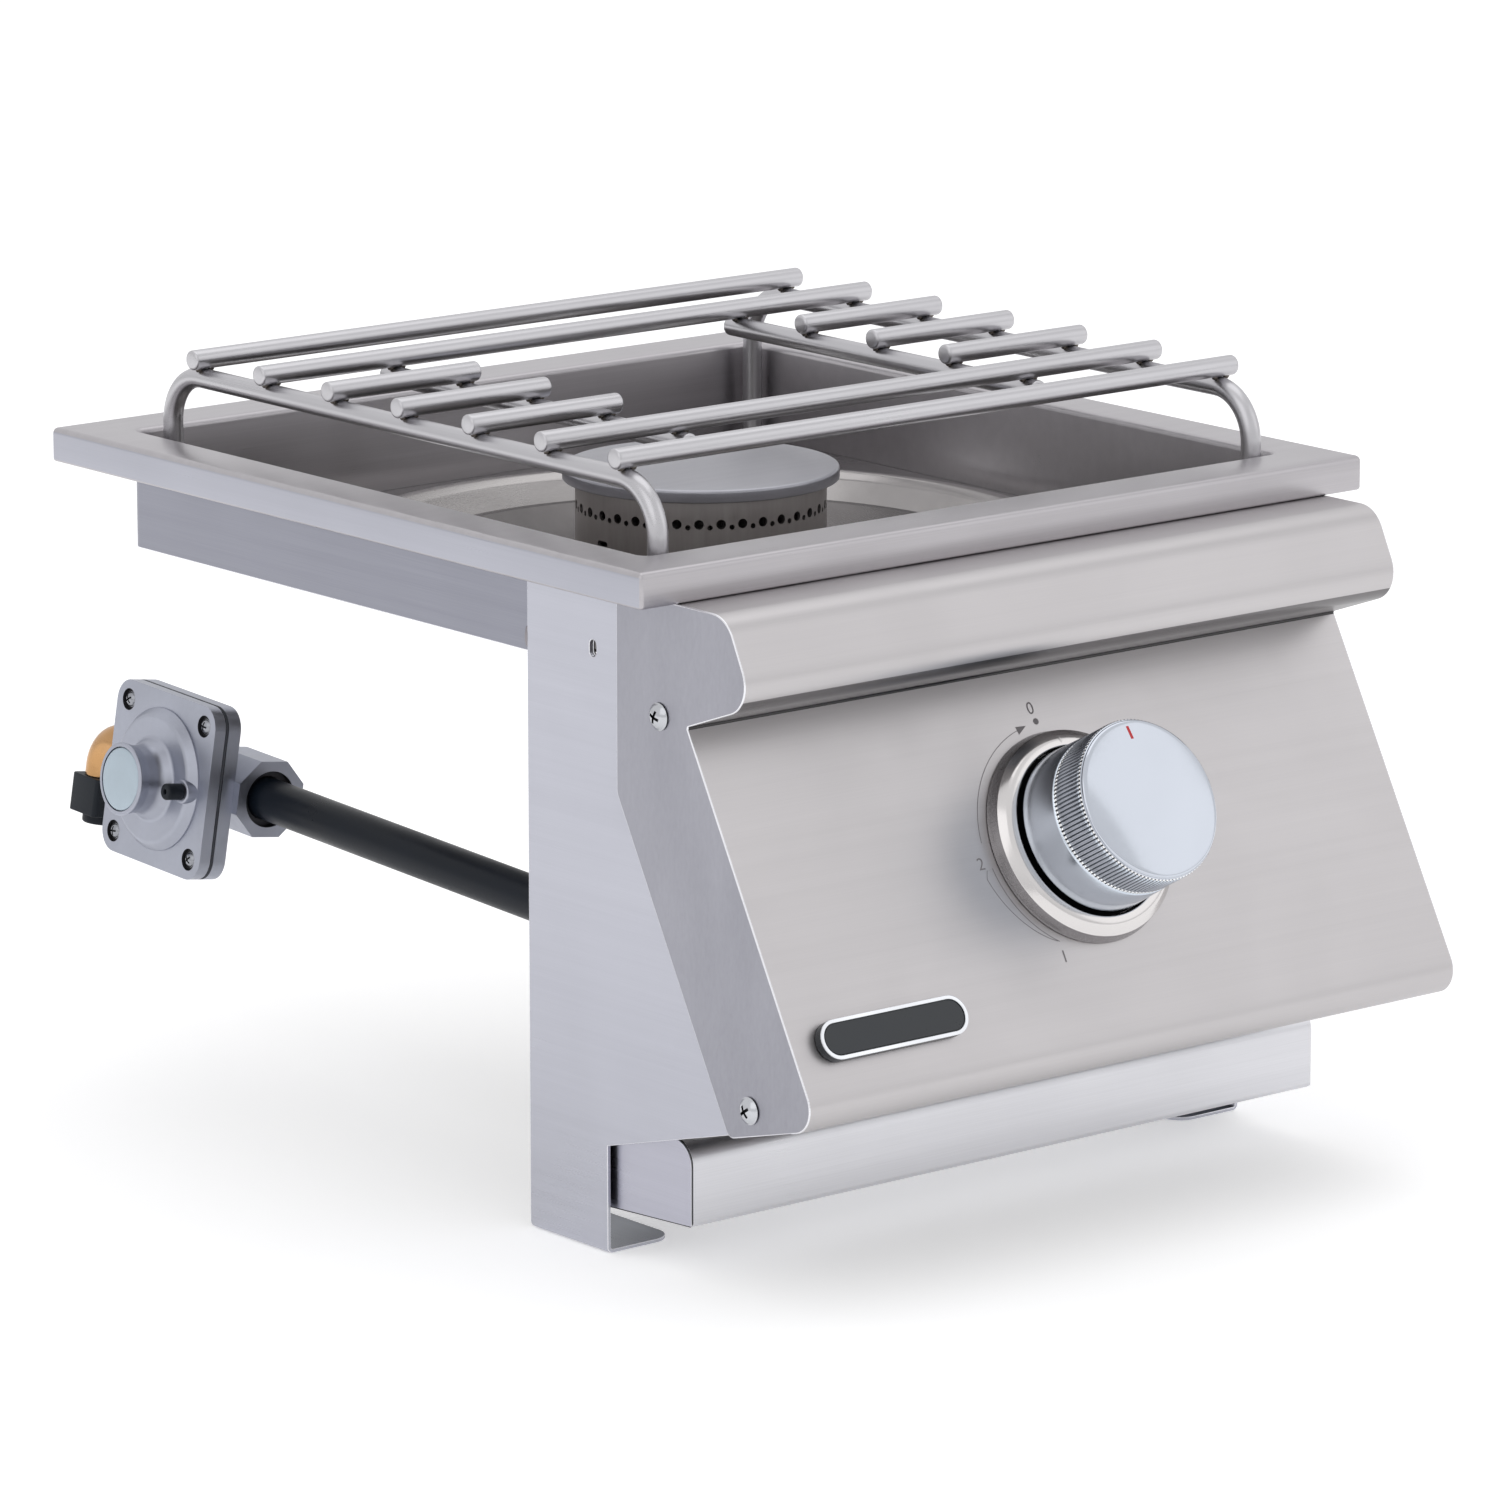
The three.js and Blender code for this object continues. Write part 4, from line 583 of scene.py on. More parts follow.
def drum_form():
    """The drum's wall is a band of square cells, each with its port, between turned rims."""
    per_side = 4
    inner_radius, drum_floor = drum_radius - drum_wall, drum_bottom + drum_wall
    columns = ports * per_side
    points, faces = [], []

    def ring(radius, height):
        start = len(points)
        for i in range(columns):
            angle = math.radians(90) + 2 * math.pi * (i / columns) - math.pi / ports
            points.append((radius * math.cos(angle), radius * math.sin(angle), height))
        return [start + i for i in range(columns)]

    def join(low, high):
        for i in range(columns):
            after = (i + 1) % columns
            faces.append((low[i], low[after], high[after], high[i]))

    def band(radius):
        levels = [band_low + (band_high - band_low) * k / per_side for k in range(per_side + 1)]
        rows = [ring(radius, level) for level in levels]
        holes = []
        for port in range(ports):
            left, right = port * per_side, (port + 1) * per_side
            edge = [rows[0][(left + k) % columns] for k in range(per_side)]
            edge += [rows[k][right % columns] for k in range(per_side)]
            edge += [rows[per_side][(right - k) % columns] for k in range(per_side)]
            edge += [rows[per_side - k][left] for k in range(per_side)]
            is_large = port % 2 == 0
            size = large_port if is_large else small_port
            middle = port_height - (0 if is_large else small_lower)
            turn = math.radians(90) + 2 * math.pi * port / ports
            start = len(points)
            count = len(edge)
            for k in range(count):
                angle = math.radians(225) + 2 * math.pi * k / count
                aside = turn + size * math.cos(angle) / drum_radius
                height = middle + size * math.sin(angle)
                points.append((radius * math.cos(aside), radius * math.sin(aside), height))
            hole = [start + k for k in range(count)]
            holes.append(hole)
            for k in range(count):
                after = (k + 1) % count
                faces.append((edge[k], edge[after], hole[after], hole[k]))
        return rows[0], rows[per_side], holes

    outer_low, outer_high, outer_holes = band(drum_radius)
    inner_low, inner_high, inner_holes = band(inner_radius)
    for outer, inner in zip(outer_holes, inner_holes):
        for k in range(len(outer)):
            after = (k + 1) % len(outer)
            faces.append((outer[k], outer[after], inner[after], inner[k]))
    top = flat((drum_radius, band_high), (drum_radius, drum_top, 0.5),
               (inner_radius, drum_top, 0.5), (inner_radius, band_high), steps=3)
    under = flat((drum_radius, band_low), (drum_radius, drum_bottom, 2.4),
                 (neck_shoulder, drum_bottom, 1), (neck_shoulder, bracket_top + hair),
                 (neck_radius, bracket_top + hair), (neck_radius, neck_bottom, 0.4),
                 (neck_bore, neck_bottom, 0.4), (neck_bore, drum_floor, 1),
                 (inner_radius, drum_floor, 1.2), (inner_radius, band_low), steps=4)
    for outer, route, inner in ((outer_high, top, inner_high), (outer_low, under, inner_low)):
        rims = [outer] + [ring(*spot) for spot in route[1:-1]] + [inner]
        for low, high in zip(rims, rims[1:]):
            join(low, high)
    # The rows inside a cell have points only for its sides, so the others are dropped.
    used = sorted({i for face in faces for i in face})
    new = {old: i for i, old in enumerate(used)}
    return [points[i] for i in used], [tuple(new[i] for i in face) for face in faces]


def stadium(length, width, steps=12):
    half = (length - width) / 2
    points = []
    for side, start in ((1, -90), (-1, 90)):
        for step in range(steps + 1):
            angle = math.radians(start + 180 * step / steps)
            points.append((side * half + width / 2 * math.cos(angle), width / 2 * math.sin(angle)))
    return points


def prism(outline, low, high):
    count = len(outline)
    points = [(x, y, low) for x, y in outline] + [(x, y, high) for x, y in outline]
    faces = [tuple(range(count))[::-1], tuple(range(count, 2 * count))]
    faces += [(i, (i + 1) % count, (i + 1) % count + count, i + count) for i in range(count)]
    return points, faces


burner_head = piece("burner_drum", drum_form(), burner_steel, "frame", "burner_head",
                    slot="burner_steel")
bored(burner_head,
      prism(stadium(slot_length, slot_height), -drum_radius - slot_reach[0],
            -drum_radius + slot_reach[1]),
      Matrix.Translation((0, 0, -slot_drop)) @ Matrix.Rotation(math.radians(90), 4, "Y")
      @ Matrix.Rotation(math.radians(90), 4, "Z"))
burner_head.data.set_sharp_from_angle(angle=math.radians(32))
cap_top, spigot_end = cap_under + cap_thick, cap_under - spigot_depth
piece("burner_cap_disc",
      turned_solid(144, (cap_flat, spigot_end), (cap_spigot, spigot_end, 1.2),
                   (cap_spigot, cap_under), (cap_radius, cap_under, 0.4),
                   (cap_radius, cap_top, 1.3), (cap_flat, cap_top), steps=5),
      cap_steel, "cap", "burner_cap", slot="burner_steel")


# ---- Burner bracket, venturi, air shutter, orifice and feed tube
# The stepped bracket hangs from the floor and carries bowl and burner. The bent venturi
# tube takes gas from the brass orifice, and air through the slots of its shutter plate.
def cast_or_turned(name, colour, roughness, metallic, grit=600, depth=0.03, patch=0.06,
                   spread=(0.86, 1.08), shine=0.5):
    """A plain finish with fine grit in its relief and soft patches in its gloss and tone."""
    finish, tree, surface = new_finish(name, Metallic=metallic, Specular_IOR_Level=shine)
    marks = node(tree, "Group", {"Grit Scale": grit, "Patch Scale": 26}, node_tree=handling_group)
    darker = tuple(channel * spread[0] for channel in colour)
    lighter = tuple(min(channel * spread[1], 1) for channel in colour)
    tree.links.new(blend_of(tree, between(tree, marks.outputs["Patches"], 0, 1), darker, lighter),
                   surface.inputs["Base Color"])
    low, high = roughness - patch, roughness + patch
    rough = sum_of(tree, between(tree, marks.outputs["Patches"], low, high),
                   between(tree, marks.outputs["Grit"], -0.03, 0.03))
    tree.links.new(rough, surface.inputs["Roughness"])
    tree.links.new(bumped(tree, marks.outputs["Grit"], depth), surface.inputs["Normal"])
    return finish


def swept(route, radius, sides=32, bore=0, dome=None, steps=10):
    """A rod or tube along a rounded route; dome gives (share of the radius, set-back) rings."""
    points = rounded(route, steps)
    ways = []
    for i in range(len(points)):
        ahead = (points[min(i + 1, len(points) - 1)] - points[min(i, len(points) - 2)]).normalized()
        behind = (points[max(i, 1)] - points[max(i - 1, 0)]).normalized()
        ways.append((ahead + behind).normalized())
    side = ways[0].orthogonal().normalized()
    frames = []
    for i, way in enumerate(ways):
        if i:
            side = ways[i - 1].rotation_difference(way) @ side
        frames.append((side.copy(), way.cross(side)))

    def ring(centre, reach, k):
        across, over = frames[k]
        return [centre + (across * math.cos(2 * math.pi * j / sides)
                          + over * math.sin(2 * math.pi * j / sides)) * reach for j in range(sides)]

    last = len(points) - 1
    if bore:
        rings = [ring(p, radius, k) for k, p in enumerate(points)]
        rings += [ring(p, bore, k) for k, p in list(enumerate(points))[::-1]]
        return loop_of(rings)
    rings = []
    ends = dome or [(1, 0)]
    for share, setback in ends:
        rings.append(ring(points[0] + ways[0] * setback, radius * share, 0))
    rings += [ring(p, radius, k) for k, p in list(enumerate(points))[1:-1]]
    for share, setback in ends[::-1]:
        rings.append(ring(points[-1] - ways[-1] * setback, radius * share, last))
    made, faces = loop_of(rings, False)
    faces.append(tuple(range(sides))[::-1])
    faces.append(tuple(len(made) - sides + j for j in range(sides)))
    return made, faces


brass = cast_or_turned("brass", tone(196, 152, 104), 0.2, 1, 900, 0.01, 0.08, (0.7, 1.1))
soft_aluminium = cast_or_turned("soft_aluminium", tone(186, 188, 190), 0.36, 1, 700, 0.01)
bracket_steel = brushed("bracket_steel", tone(140, 138, 138), tone(176, 174, 174), along_x)


def shading_group():
    """Smooth shading, broken only at real corners."""
    tree = bpy.data.node_groups.new("round_shading", "GeometryNodeTree")
    tree.interface.new_socket(name="Geometry", in_out="INPUT", socket_type="NodeSocketGeometry")
    tree.interface.new_socket(name="Geometry", in_out="OUTPUT", socket_type="NodeSocketGeometry")
    ins, outs = tree.nodes.new("NodeGroupInput"), tree.nodes.new("NodeGroupOutput")
    faces = tree.nodes.new("GeometryNodeSetShadeSmooth")
    edges = tree.nodes.new("GeometryNodeSetShadeSmooth")
    faces.domain, edges.domain = "FACE", "EDGE"
    edges.inputs["Shade Smooth"].default_value = False
    angle = tree.nodes.new("GeometryNodeInputMeshEdgeAngle")
    wide = tree.nodes.new("FunctionNodeCompare")
    wide.data_type, wide.operation = "FLOAT", "GREATER_THAN"
    wide.inputs["B"].default_value = math.radians(34)
    tree.links.new(ins.outputs[0], faces.inputs["Geometry"])
    tree.links.new(faces.outputs[0], edges.inputs["Geometry"])
    tree.links.new(angle.outputs["Unsigned Angle"], wide.inputs["A"])
    tree.links.new(wide.outputs[0], edges.inputs["Selection"])
    tree.links.new(edges.outputs[0], outs.inputs[0])
    return tree


round_shading = shading_group()


def carried(name, finish):
    """A hidden CAD piece keeps its shape and takes a finish and softened edges."""
    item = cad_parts[name]
    item.data.materials.clear()
    item.data.materials.append(finish)
    weld = item.modifiers.new("weld", "WELD")
    weld.merge_threshold = 0.00001
    shade = item.modifiers.new("shade", "NODES")
    shade.node_group = round_shading


carried("burner_bracket", bracket_steel)
carried("air_shutter", bracket_steel)
carried("orifice_holder", brass)
carried("feed_tube", soft_aluminium)
venturi_top, venturi_level, venturi_mouth = -48, -76, -95
venturi_radius, venturi_bore, venturi_bend = 16, 14.8, 18
piece("venturi_bend",
      swept([((0, 0, venturi_top), 0), ((0, 0, venturi_level), venturi_bend),
             ((0, venturi_mouth, venturi_level), 0)], venturi_radius, 48, venturi_bore),
      burner_steel, "frame", "venturi_tube", slot="burner_steel")


# ---- Electrode and its clip
# A glazed ceramic rod with a wire pin that bends towards the ports, held by a steel clip.
ceramic = cast_or_turned("ceramic", tone(232, 230, 222), 0.22, 0, 500, 0.01)
pin_steel = cast_or_turned("pin_steel", tone(150, 146, 142), 0.35, 1, 700, 0.01)
electrode_radius, electrode_low, electrode_high = 3.2, -60, -18
pin_radius, pin_low, pin_high, pin_bend, pin_reach = 0.9, -18.4, -11, 2, 12


def on_electrode(height):
    return Vector((*electrode_at, height))


to_ports = -on_electrode(0).normalized()
piece("electrode_rod",
      swept([(on_electrode(electrode_low), 0), (on_electrode(electrode_high), 0)],
            electrode_radius, 32, dome=[(0.55, 0), (0.85, 0.4), (1, 1.4)]),
      ceramic, "frame", "electrode", slot="ceramic")
piece("electrode_pin",
      swept([(on_electrode(pin_low), 0), (on_electrode(pin_high), pin_bend),
             (on_electrode(pin_high) + to_ports * pin_reach, 0)],
            pin_radius, 16, dome=[(0.4, 0), (0.8, 0.2), (1, 0.6)]),
      pin_steel, "frame", slot="screw_steel")
carried("electrode_clip", bracket_steel)


# ---- Rod grate
# Eight-millimetre stainless rods with rounded ends. The bars lie on two bent outer rails and
# two inner rails, and a small weld holds each crossing. The whole grate lifts out.
rod_radius, rod_end, rod_sides = 3.93, 1.3, 28
grate_aside, grate_back = 2.4, -1.6
bar_height, bar_spacing, bar_rows, row_shift = 44.62, 43.8, 7, -1.9
rail_height = 36.87
rail_aside, leg_back, rail_bend = 146.7, 151.1, 20
bar_half, inner_aside, inner_overhang, bar_overhang = 153.2, 86.5, 5.5, 6.5
rod_tones = tone(188, 187, 190), tone(200, 199, 202)
rod_steel_x = brushed("rod_steel_x", *rod_tones, along_x, (0.27, 0.33), 0.001)
rod_steel_y = brushed("rod_steel_y", *rod_tones, along_y, (0.27, 0.33), 0.001)
weld_steel = cast_or_turned("weld_steel", tone(110, 104, 98), 0.42, 1, 1500, 0.08, 0.1)
rod_dome = [(0.7, 0), (0.86, 0.18), (0.95, 0.5), (0.99, 0.9), (1, rod_end)]
grate_at = Matrix.Translation((grate_aside, grate_back, 0))


def rod(start, end):
    return swept([(start, 0), (end, 0)], rod_radius, rod_sides, dome=rod_dome)


inner_half = (bar_rows - 3) * bar_spacing / 2 + bar_overhang
leg_end = -floor_drop + hair
crossings = []
for side, hand in ((-1, "left"), (1, "right")):
    aside = side * rail_aside
    rail = swept([((aside, -leg_back, leg_end), 0),
                  ((aside, -leg_back, rail_height), rail_bend),
                  ((aside, leg_back, rail_height), rail_bend), ((aside, leg_back, leg_end), 0)],
                 rod_radius, rod_sides, dome=[(0.9, 0), (1, 0.5)], steps=14)
    piece(hand + "_outer_rod", rail, rod_steel_y, "grate", hand + "_outer_rail", at=grate_at,
          slot="rod_steel")
    piece(hand + "_inner_rod",
          rod((side * inner_aside, row_shift - inner_half, rail_height),
              (side * inner_aside, row_shift + inner_half, rail_height)),
          rod_steel_y, "grate", hand + "_inner_rail", at=grate_at, slot="rod_steel")

for row in range(1, bar_rows + 1):
    back = ((bar_rows + 1) / 2 - row) * bar_spacing + row_shift
    crossings += [(side * rail_aside, back) for side in (-1, 1)]
    if 2 <= row <= bar_rows - 1:
        crossings += [(side * inner_aside, back) for side in (-1, 1)]
    if row <= 2 or row >= bar_rows - 1:
        piece("bar_%d" % row, rod((-bar_half, back, bar_height), (bar_half, back, bar_height)),
              rod_steel_x, "grate", "grate_bar_%d" % row, at=grate_at, slot="rod_steel")
    else:
        for side, hand in ((-1, "left"), (1, "right")):
            piece("bar_%d_%s" % (row, hand),
                  rod((side * (inner_aside - inner_overhang), back, bar_height),
                      (side * bar_half, back, bar_height)),
                  rod_steel_x, "grate", "grate_bar_%d_%s" % (row, hand), at=grate_at,
                  slot="rod_steel")


def weld_lumps(spots, size, sides, grain, unevenness):
    """Small lumps of weld of one size, each with its own uneven skin."""
    points, faces = [], []
    lump, skin = turned([(0, -1), (0.62, -0.78), (0.95, -0.3), (0.95, 0.3), (0.62, 0.78), (0, 1)],
                        sides)
    for spot in spots:
        start = len(points)
        for p in lump:
            here = Vector(spot) + Vector(a * b for a, b in zip(p, size))
            points.append(here + noise.noise_vector(here * grain) * unevenness)
        faces += [tuple(i + start for i in face) for face in skin]
    return points, faces


noise.seed_set(1)  # without it the lumps would take another shape at every run
weld_aside, weld_height = 2.9, (bar_height + rail_height) / 2 + 0.1
weld_spots = [(x + side * weld_aside, y, weld_height) for x, y in crossings for side in (-1, 1)]
piece("grate_welds", weld_lumps(weld_spots, (1.5, 1.1, 1.3), 10, 0.9, 0.28), weld_steel, "grate",
      at=grate_at, sharp=0, slot="rod_steel")


# ---- Side panels
# Two plates of 1.5 mm brushed stainless hang from the pan and carry the control panel. Each
# has a slanted lower front edge, a notch, an oval hole and a foot folded inward.
side_sheet, side_top, side_back, side_notch = 1.5, -0.9, 91, 44.5
side_drop, notch_drop, slant_rise, foot_gap = 253.5, 212, 16, 1.5
side_hole, side_hole_at, side_hole_reach = stadium(6.5, 4, 8), (52, -25), (150, 165)
side_inner = opening_x + sheet + hair
side_outer = side_inner + side_sheet
foot_width, foot_corner = 32, 9
lean = math.radians(28.8)
down = Vector((-math.sin(lean), -math.cos(lean)))
return_way = Vector((math.cos(math.radians(14.8)), -math.sin(math.radians(14.8))))
root = Vector((-4.3, -44.7))
panel_fall, panel_lip = 154.5, 16
foot = root + down * panel_fall
panel_half = side_outer + hair + sheet
# Painted light: a bluish tint on the side plates for the cool light on the sides.
side_steel = brushed("side_steel", tone(182, 183, 192), tone(191, 192, 201), along_y)
# Painted shade: a dark steel for the upper faces of the feet.
foot_painted_shade = brushed("foot_painted_shade", tone(92, 96, 104), tone(106, 110, 118), along_y)


def side_form():
    """The plate's outer skin: the web, the bend at its foot and the foot's flat."""
    facing = sheet + 1
    front = foot + return_way * (panel_lip + facing) + Vector((0, foot_gap))

    def face_at(height):
        return root.x + facing / math.cos(lean) + (height - root.y) * math.tan(lean)

    bottom = -side_drop + bend
    slant_end = front.y + slant_rise
    web = [(side_back, side_top), (-root.x, side_top), (face_at(root.y), root.y),
           (face_at(slant_end), slant_end), tuple(front), (side_notch, -notch_drop),
           (side_notch, bottom), (side_back, bottom)]
    points = [(side_outer, u, v) for u, v in web]
    faces = [tuple(range(len(web)))]
    bend_steps = 5
    front_edge, back_edge = [len(web) - 2], [len(web) - 1]
    for step in range(1, bend_steps + 1):
        angle = math.radians(90) * step / bend_steps
        x = side_outer - bend * (1 - math.cos(angle))
        z = bottom - bend * math.sin(angle)
        front_edge.append(len(points))
        points.append((x, side_notch, z))
        back_edge.append(len(points))
        points.append((x, side_back, z))
    for k in range(bend_steps):
        faces.append((front_edge[k], front_edge[k + 1], back_edge[k + 1], back_edge[k]))
    inner = side_outer - foot_width
    rim = [back_edge[-1], front_edge[-1]]
    for x, y in flat((inner + foot_corner + 1, side_notch), (inner, side_notch, foot_corner),
                     (inner, side_notch + foot_corner + 1), steps=10) + [(inner, side_back)]:
        rim.append(len(points))
        points.append((x, y, -side_drop))
    faces.append(tuple(rim))
    return points, faces


def facing_out(item, centre):
    """Turns the skin of an open folded piece so that its outside faces away from a point."""
    middle = Vector(centre) * MM
    out = sum((f.center - middle).dot(f.normal) * f.area for f in item.data.polygons)
    if out < 0:
        item.data.flip_normals()


def thickened(item, thickness):
    """Gives a folded skin the thickness of its sheet, inwards."""
    solid = item.modifiers.new("thickness", "SOLIDIFY")
    solid.thickness = thickness * MM
    solid.offset = -1
    solid.use_even_offset = True
    solid.use_quality_normals = True
    settled(item)


at_front = Matrix.Translation((0, -rim_half_y, 0))
through_side = (at_front @ Matrix.Translation((0, *side_hole_at))
                @ Matrix.Rotation(math.radians(90), 4, "Y"))
for side, hand in ((1, "right"), (-1, "left")):
    turn = Matrix.Scale(side, 4, (1, 0, 0))
    plate = piece(hand + "_side_plate", side_form(), side_steel, "frame", hand + "_side_panel",
                  at=turn @ at_front, slot="brushed_steel")
    facing_out(plate, (0, side_back - rim_half_y, 0))
    thickened(plate, side_sheet)
    for walled in (plate, top_frame):
        bored(walled, prism(side_hole, *side_hole_reach), turn @ through_side)
    # Painted shade: the feet's upper faces take the dark steel.
    plate.data.materials.append(foot_painted_shade)
    for face in plate.data.polygons:
        face.material_index = int(face.normal.z > 0.9 and face.center.z < -notch_drop * MM)
    eased(plate, 0.25, 2, 50, ground_edge_highlight)
eased(top_frame, 0.4, 2, 50, ground_edge_highlight)

plate_weld_steel = cast_or_turned("plate_weld_steel", tone(150, 146, 150), 0.4, 1, 1500, 0.05)
weld_spots = [(side * (side_inner + 0.9), side_back - rim_half_y + 0.5, -27) for side in (-1, 1)]
piece("plate_welds", weld_lumps(weld_spots, (1.1, 1.2, 4.2), 12, 0.8, 0.25), plate_weld_steel,
      "frame", sharp=0, slot="brushed_steel")


# ---- Control panel
# One blank of brushed stainless: a rounded nose along the top, a leaning face and a narrow
# return at its foot. The side flanges are folded back, welded along the nose and ground.
panel_steel = brushed("panel_steel", tone(190, 187, 188), tone(197, 194, 195), along_x,
                      (0.36, 0.4), 0.0007)
shaded_steel = brushed("shaded_steel", tone(112, 110, 111), tone(126, 124, 125), along_x,
                       (0.28, 0.33), 0.001)
# Partly painted shade: the flanges' darker, bluish steel is their scuffed finish and side shade.
flange_steel_and_side_shade = brushed("flange_steel_and_side_shade", tone(150, 150, 158), tone(166, 166, 174), (90, 700, 260),
                       (0.3, 0.42), 0.01)
# Painted shade: a dark steel for the crease at the nose's root and the seams of the lower pan.
crease_and_seam_shade = brushed("crease_and_seam_shade", tone(58, 57, 58), tone(76, 75, 76), along_x)
nose_back, nose_top, nose_front, nose_belly = 4, -0.12, -26.8, (-42, -31.2)
flange_back, heel_reach = 36.5, 52.5
crease_shade_reach, stem_hole = 1.5, 8


def panel_form():
    """One open skin across the panel, and a flange at each of its ends."""
    nose = [(nose_back, nose_top), (nose_front, nose_top, 13), (*nose_belly, 12), (*root, 0.9),
            (*foot, 10)]
    lip, heel = foot + return_way * panel_lip, foot + return_way * heel_reach
    back_foot = heel.y + (flange_back - heel.x) / math.tan(lean)
    skin = flat(*nose, tuple(lip), steps=12)
    rest = flat(tuple(lip), (*heel, 4), (flange_back, back_foot, 6), (flange_back, nose_top),
                steps=6)[1:]
    count = len(skin)
    points = [(-panel_half, u, v) for u, v in skin] + [(panel_half, u, v) for u, v in skin]
    faces = [(i, i + 1, count + i + 1, count + i) for i in range(count - 1)]
    for side in (-1, 1):
        start = len(points)
        points += [(side * panel_half, u, v) for u, v in rest]
        edge = list(range(count)) if side < 0 else list(range(count, 2 * count))
        faces.append(tuple(edge + [start + k for k in range(len(rest))]))
    return points, faces


knob_place = (Matrix.Translation((0, -221.22, -103.68))
              @ Matrix.Rotation(math.radians(90) - lean, 4, "X"))
panel = piece("control_panel_folded", panel_form(), panel_steel, "frame", "control_panel",
              at=at_front, slot="brushed_steel")
facing_out(panel, (0, -rim_half_y, -110))
thickened(panel, sheet)
bored(panel, turned_solid(48, (stem_hole, -6), (stem_hole, 6)), knob_place)
for finish in (flange_steel_and_side_shade, shaded_steel, crease_and_seam_shade):
    panel.data.materials.append(finish)
root_line = Vector((root.x - rim_half_y, root.y))
# Painted shade: flanges darker, faces under the nose the shaded steel, the root bend the dark one.
for face in panel.data.polygons:
    across = Vector(face.center.yz) / MM - root_line
    under_nose = face.normal.z < -0.55 and across.y > 0
    in_crease_shade = across.length < crease_shade_reach
    face.material_index = (1 if abs(face.normal.x) > 0.9 else 3 if in_crease_shade
                           else 2 if under_nose else 0)
eased(panel, 0.5, 3, 40, ground_edge_highlight)


# ---- Screws
# Four stainless truss head screws with cross recesses, two through each side flange.
screw_steel = cast_or_turned("screw_steel", tone(196, 198, 202), 0.2, 1, 1400, 0.004, 0.05)
recess_dark = cast_or_turned("recess_dark", tone(34, 36, 40), 0.5, 0.6, 1400, 0.004)


def screw_form(head=5.2, height=2.6, shank=2.4, length=9):
    spread, step = 62, 6
    low, wide = math.cos(math.radians(spread)), math.sin(math.radians(spread))
    dome = [(head * math.sin(math.radians(a)) / wide,
             height * (math.cos(math.radians(a)) - low) / (1 - low))
            for a in range(spread, -1, -step)]
    dome[-1] = (0, dome[-1][1])
    return turned([(0, -length), (shank * 0.6, -length), (shank, -length + 1.2), (shank, 0),
                   (head - 0.25, 0), (head, 0.25)] + dome[1:], 40)


def cross_form(across, width, low, high):
    half, arm = across / 2, width / 2
    return prism([(half, -arm), (half, arm), (arm, arm), (arm, half), (-arm, half), (-arm, arm),
                  (-half, arm), (-half, -arm), (-arm, -arm), (-arm, -half), (arm, -half),
                  (arm, -arm)], low, high)


def darken_recess(screw, at, floor_level, reach):
    """The driver recess is in shade: its floor and walls take a dark finish."""
    screw.data.materials.append(recess_dark)
    to_screw = at.inverted()
    for face in screw.data.polygons:
        spot, way = to_screw @ (face.center / MM), to_screw.to_3x3() @ face.normal
        inside = math.hypot(spot.x, spot.y) < reach and spot.z > floor_level - 0.1
        face.material_index = int(inside and (way.z < 0.5 or spot.z < floor_level + 0.05))
    screw.data.set_sharp_from_angle(angle=math.radians(30))


upper_screw = (11.5, -43.3)
lower_screw = foot + return_way * 37.5 + Vector((-return_way.y, return_way.x)) * 9.7
for level, (u, v), spin in (("upper", upper_screw, 20), ("lower", lower_screw, 55)):
    for side, hand in ((-1, "left"), (1, "right")):
        at = (Matrix.Translation((side * (panel_half + hair), u - rim_half_y, v))
              @ Matrix.Rotation(side * math.radians(90), 4, "Y")
              @ Matrix.Rotation(math.radians(spin * side), 4, "Z"))
        screw = piece("%s_%s_truss_screw" % (hand, level), screw_form(), screw_steel, "frame",
                      "%s_%s_screw" % (hand, level), at=at, slot="screw_steel")
        bored(screw, cross_form(5.0, 1.15, 1.0, 4), at)
        darken_recess(screw, at, 1.02, 2.7)


# ---- Dial marks
# Thin dark ink on the panel: a dot and 0 for off, an arrow that sweeps up to it, and a
# crescent that tapers from 2, the high flame, to 1, the low flame.
ink = cast_or_turned("dial_ink", tone(126, 122, 124), 0.6, 0, 2000, 0.002)
ink_height = 0.06


def polar(radius, angle):
    """A place round the knob; the angle runs anticlockwise from straight up the slope."""
    turn = math.radians(angle)
    return -radius * math.sin(turn), radius * math.cos(turn)


def ribbon(outer, inner):
    """A flat band of ink between two edges of equal counts."""
    count = len(outer)
    points = [(x, y, 0) for x, y in outer] + [(x, y, 0) for x, y in inner]
    points += [(x, y, ink_height) for x, y in outer] + [(x, y, ink_height) for x, y in inner]
    faces = []
    for i in range(count - 1):
        faces.append((i, i + 1, count + i + 1, count + i))
        faces.append((2 * count + i, 3 * count + i, 3 * count + i + 1, 2 * count + i + 1))
        faces.append((i, 2 * count + i, 2 * count + i + 1, i + 1))
        faces.append((count + i, count + i + 1, 3 * count + i + 1, 3 * count + i))
    for i in (0, count - 1):
        faces.append((i, count + i, 3 * count + i, 2 * count + i))
    return points, faces


def line_along(radius, start, end, steps=40):
    """A thin line round the knob; radius gives its outer edge at each share of the way."""
    outer, inner = [], []
    for step in range(steps + 1):
        share = step / steps
        angle = start + (end - start) * share
        outer.append(polar(radius(share), angle))
        inner.append(polar(radius(share) - ink_line, angle))
    return ribbon(outer, inner)


def joined(*forms):
    points, faces = [], []
    for some, skin in forms:
        faces += [tuple(i + len(points) for i in face) for face in skin]
        points += some
    return points, faces


def crescent_width(share):
    return 4.6 * (1 - share) ** 0.8 * min(1, share * 6 + 0.55)


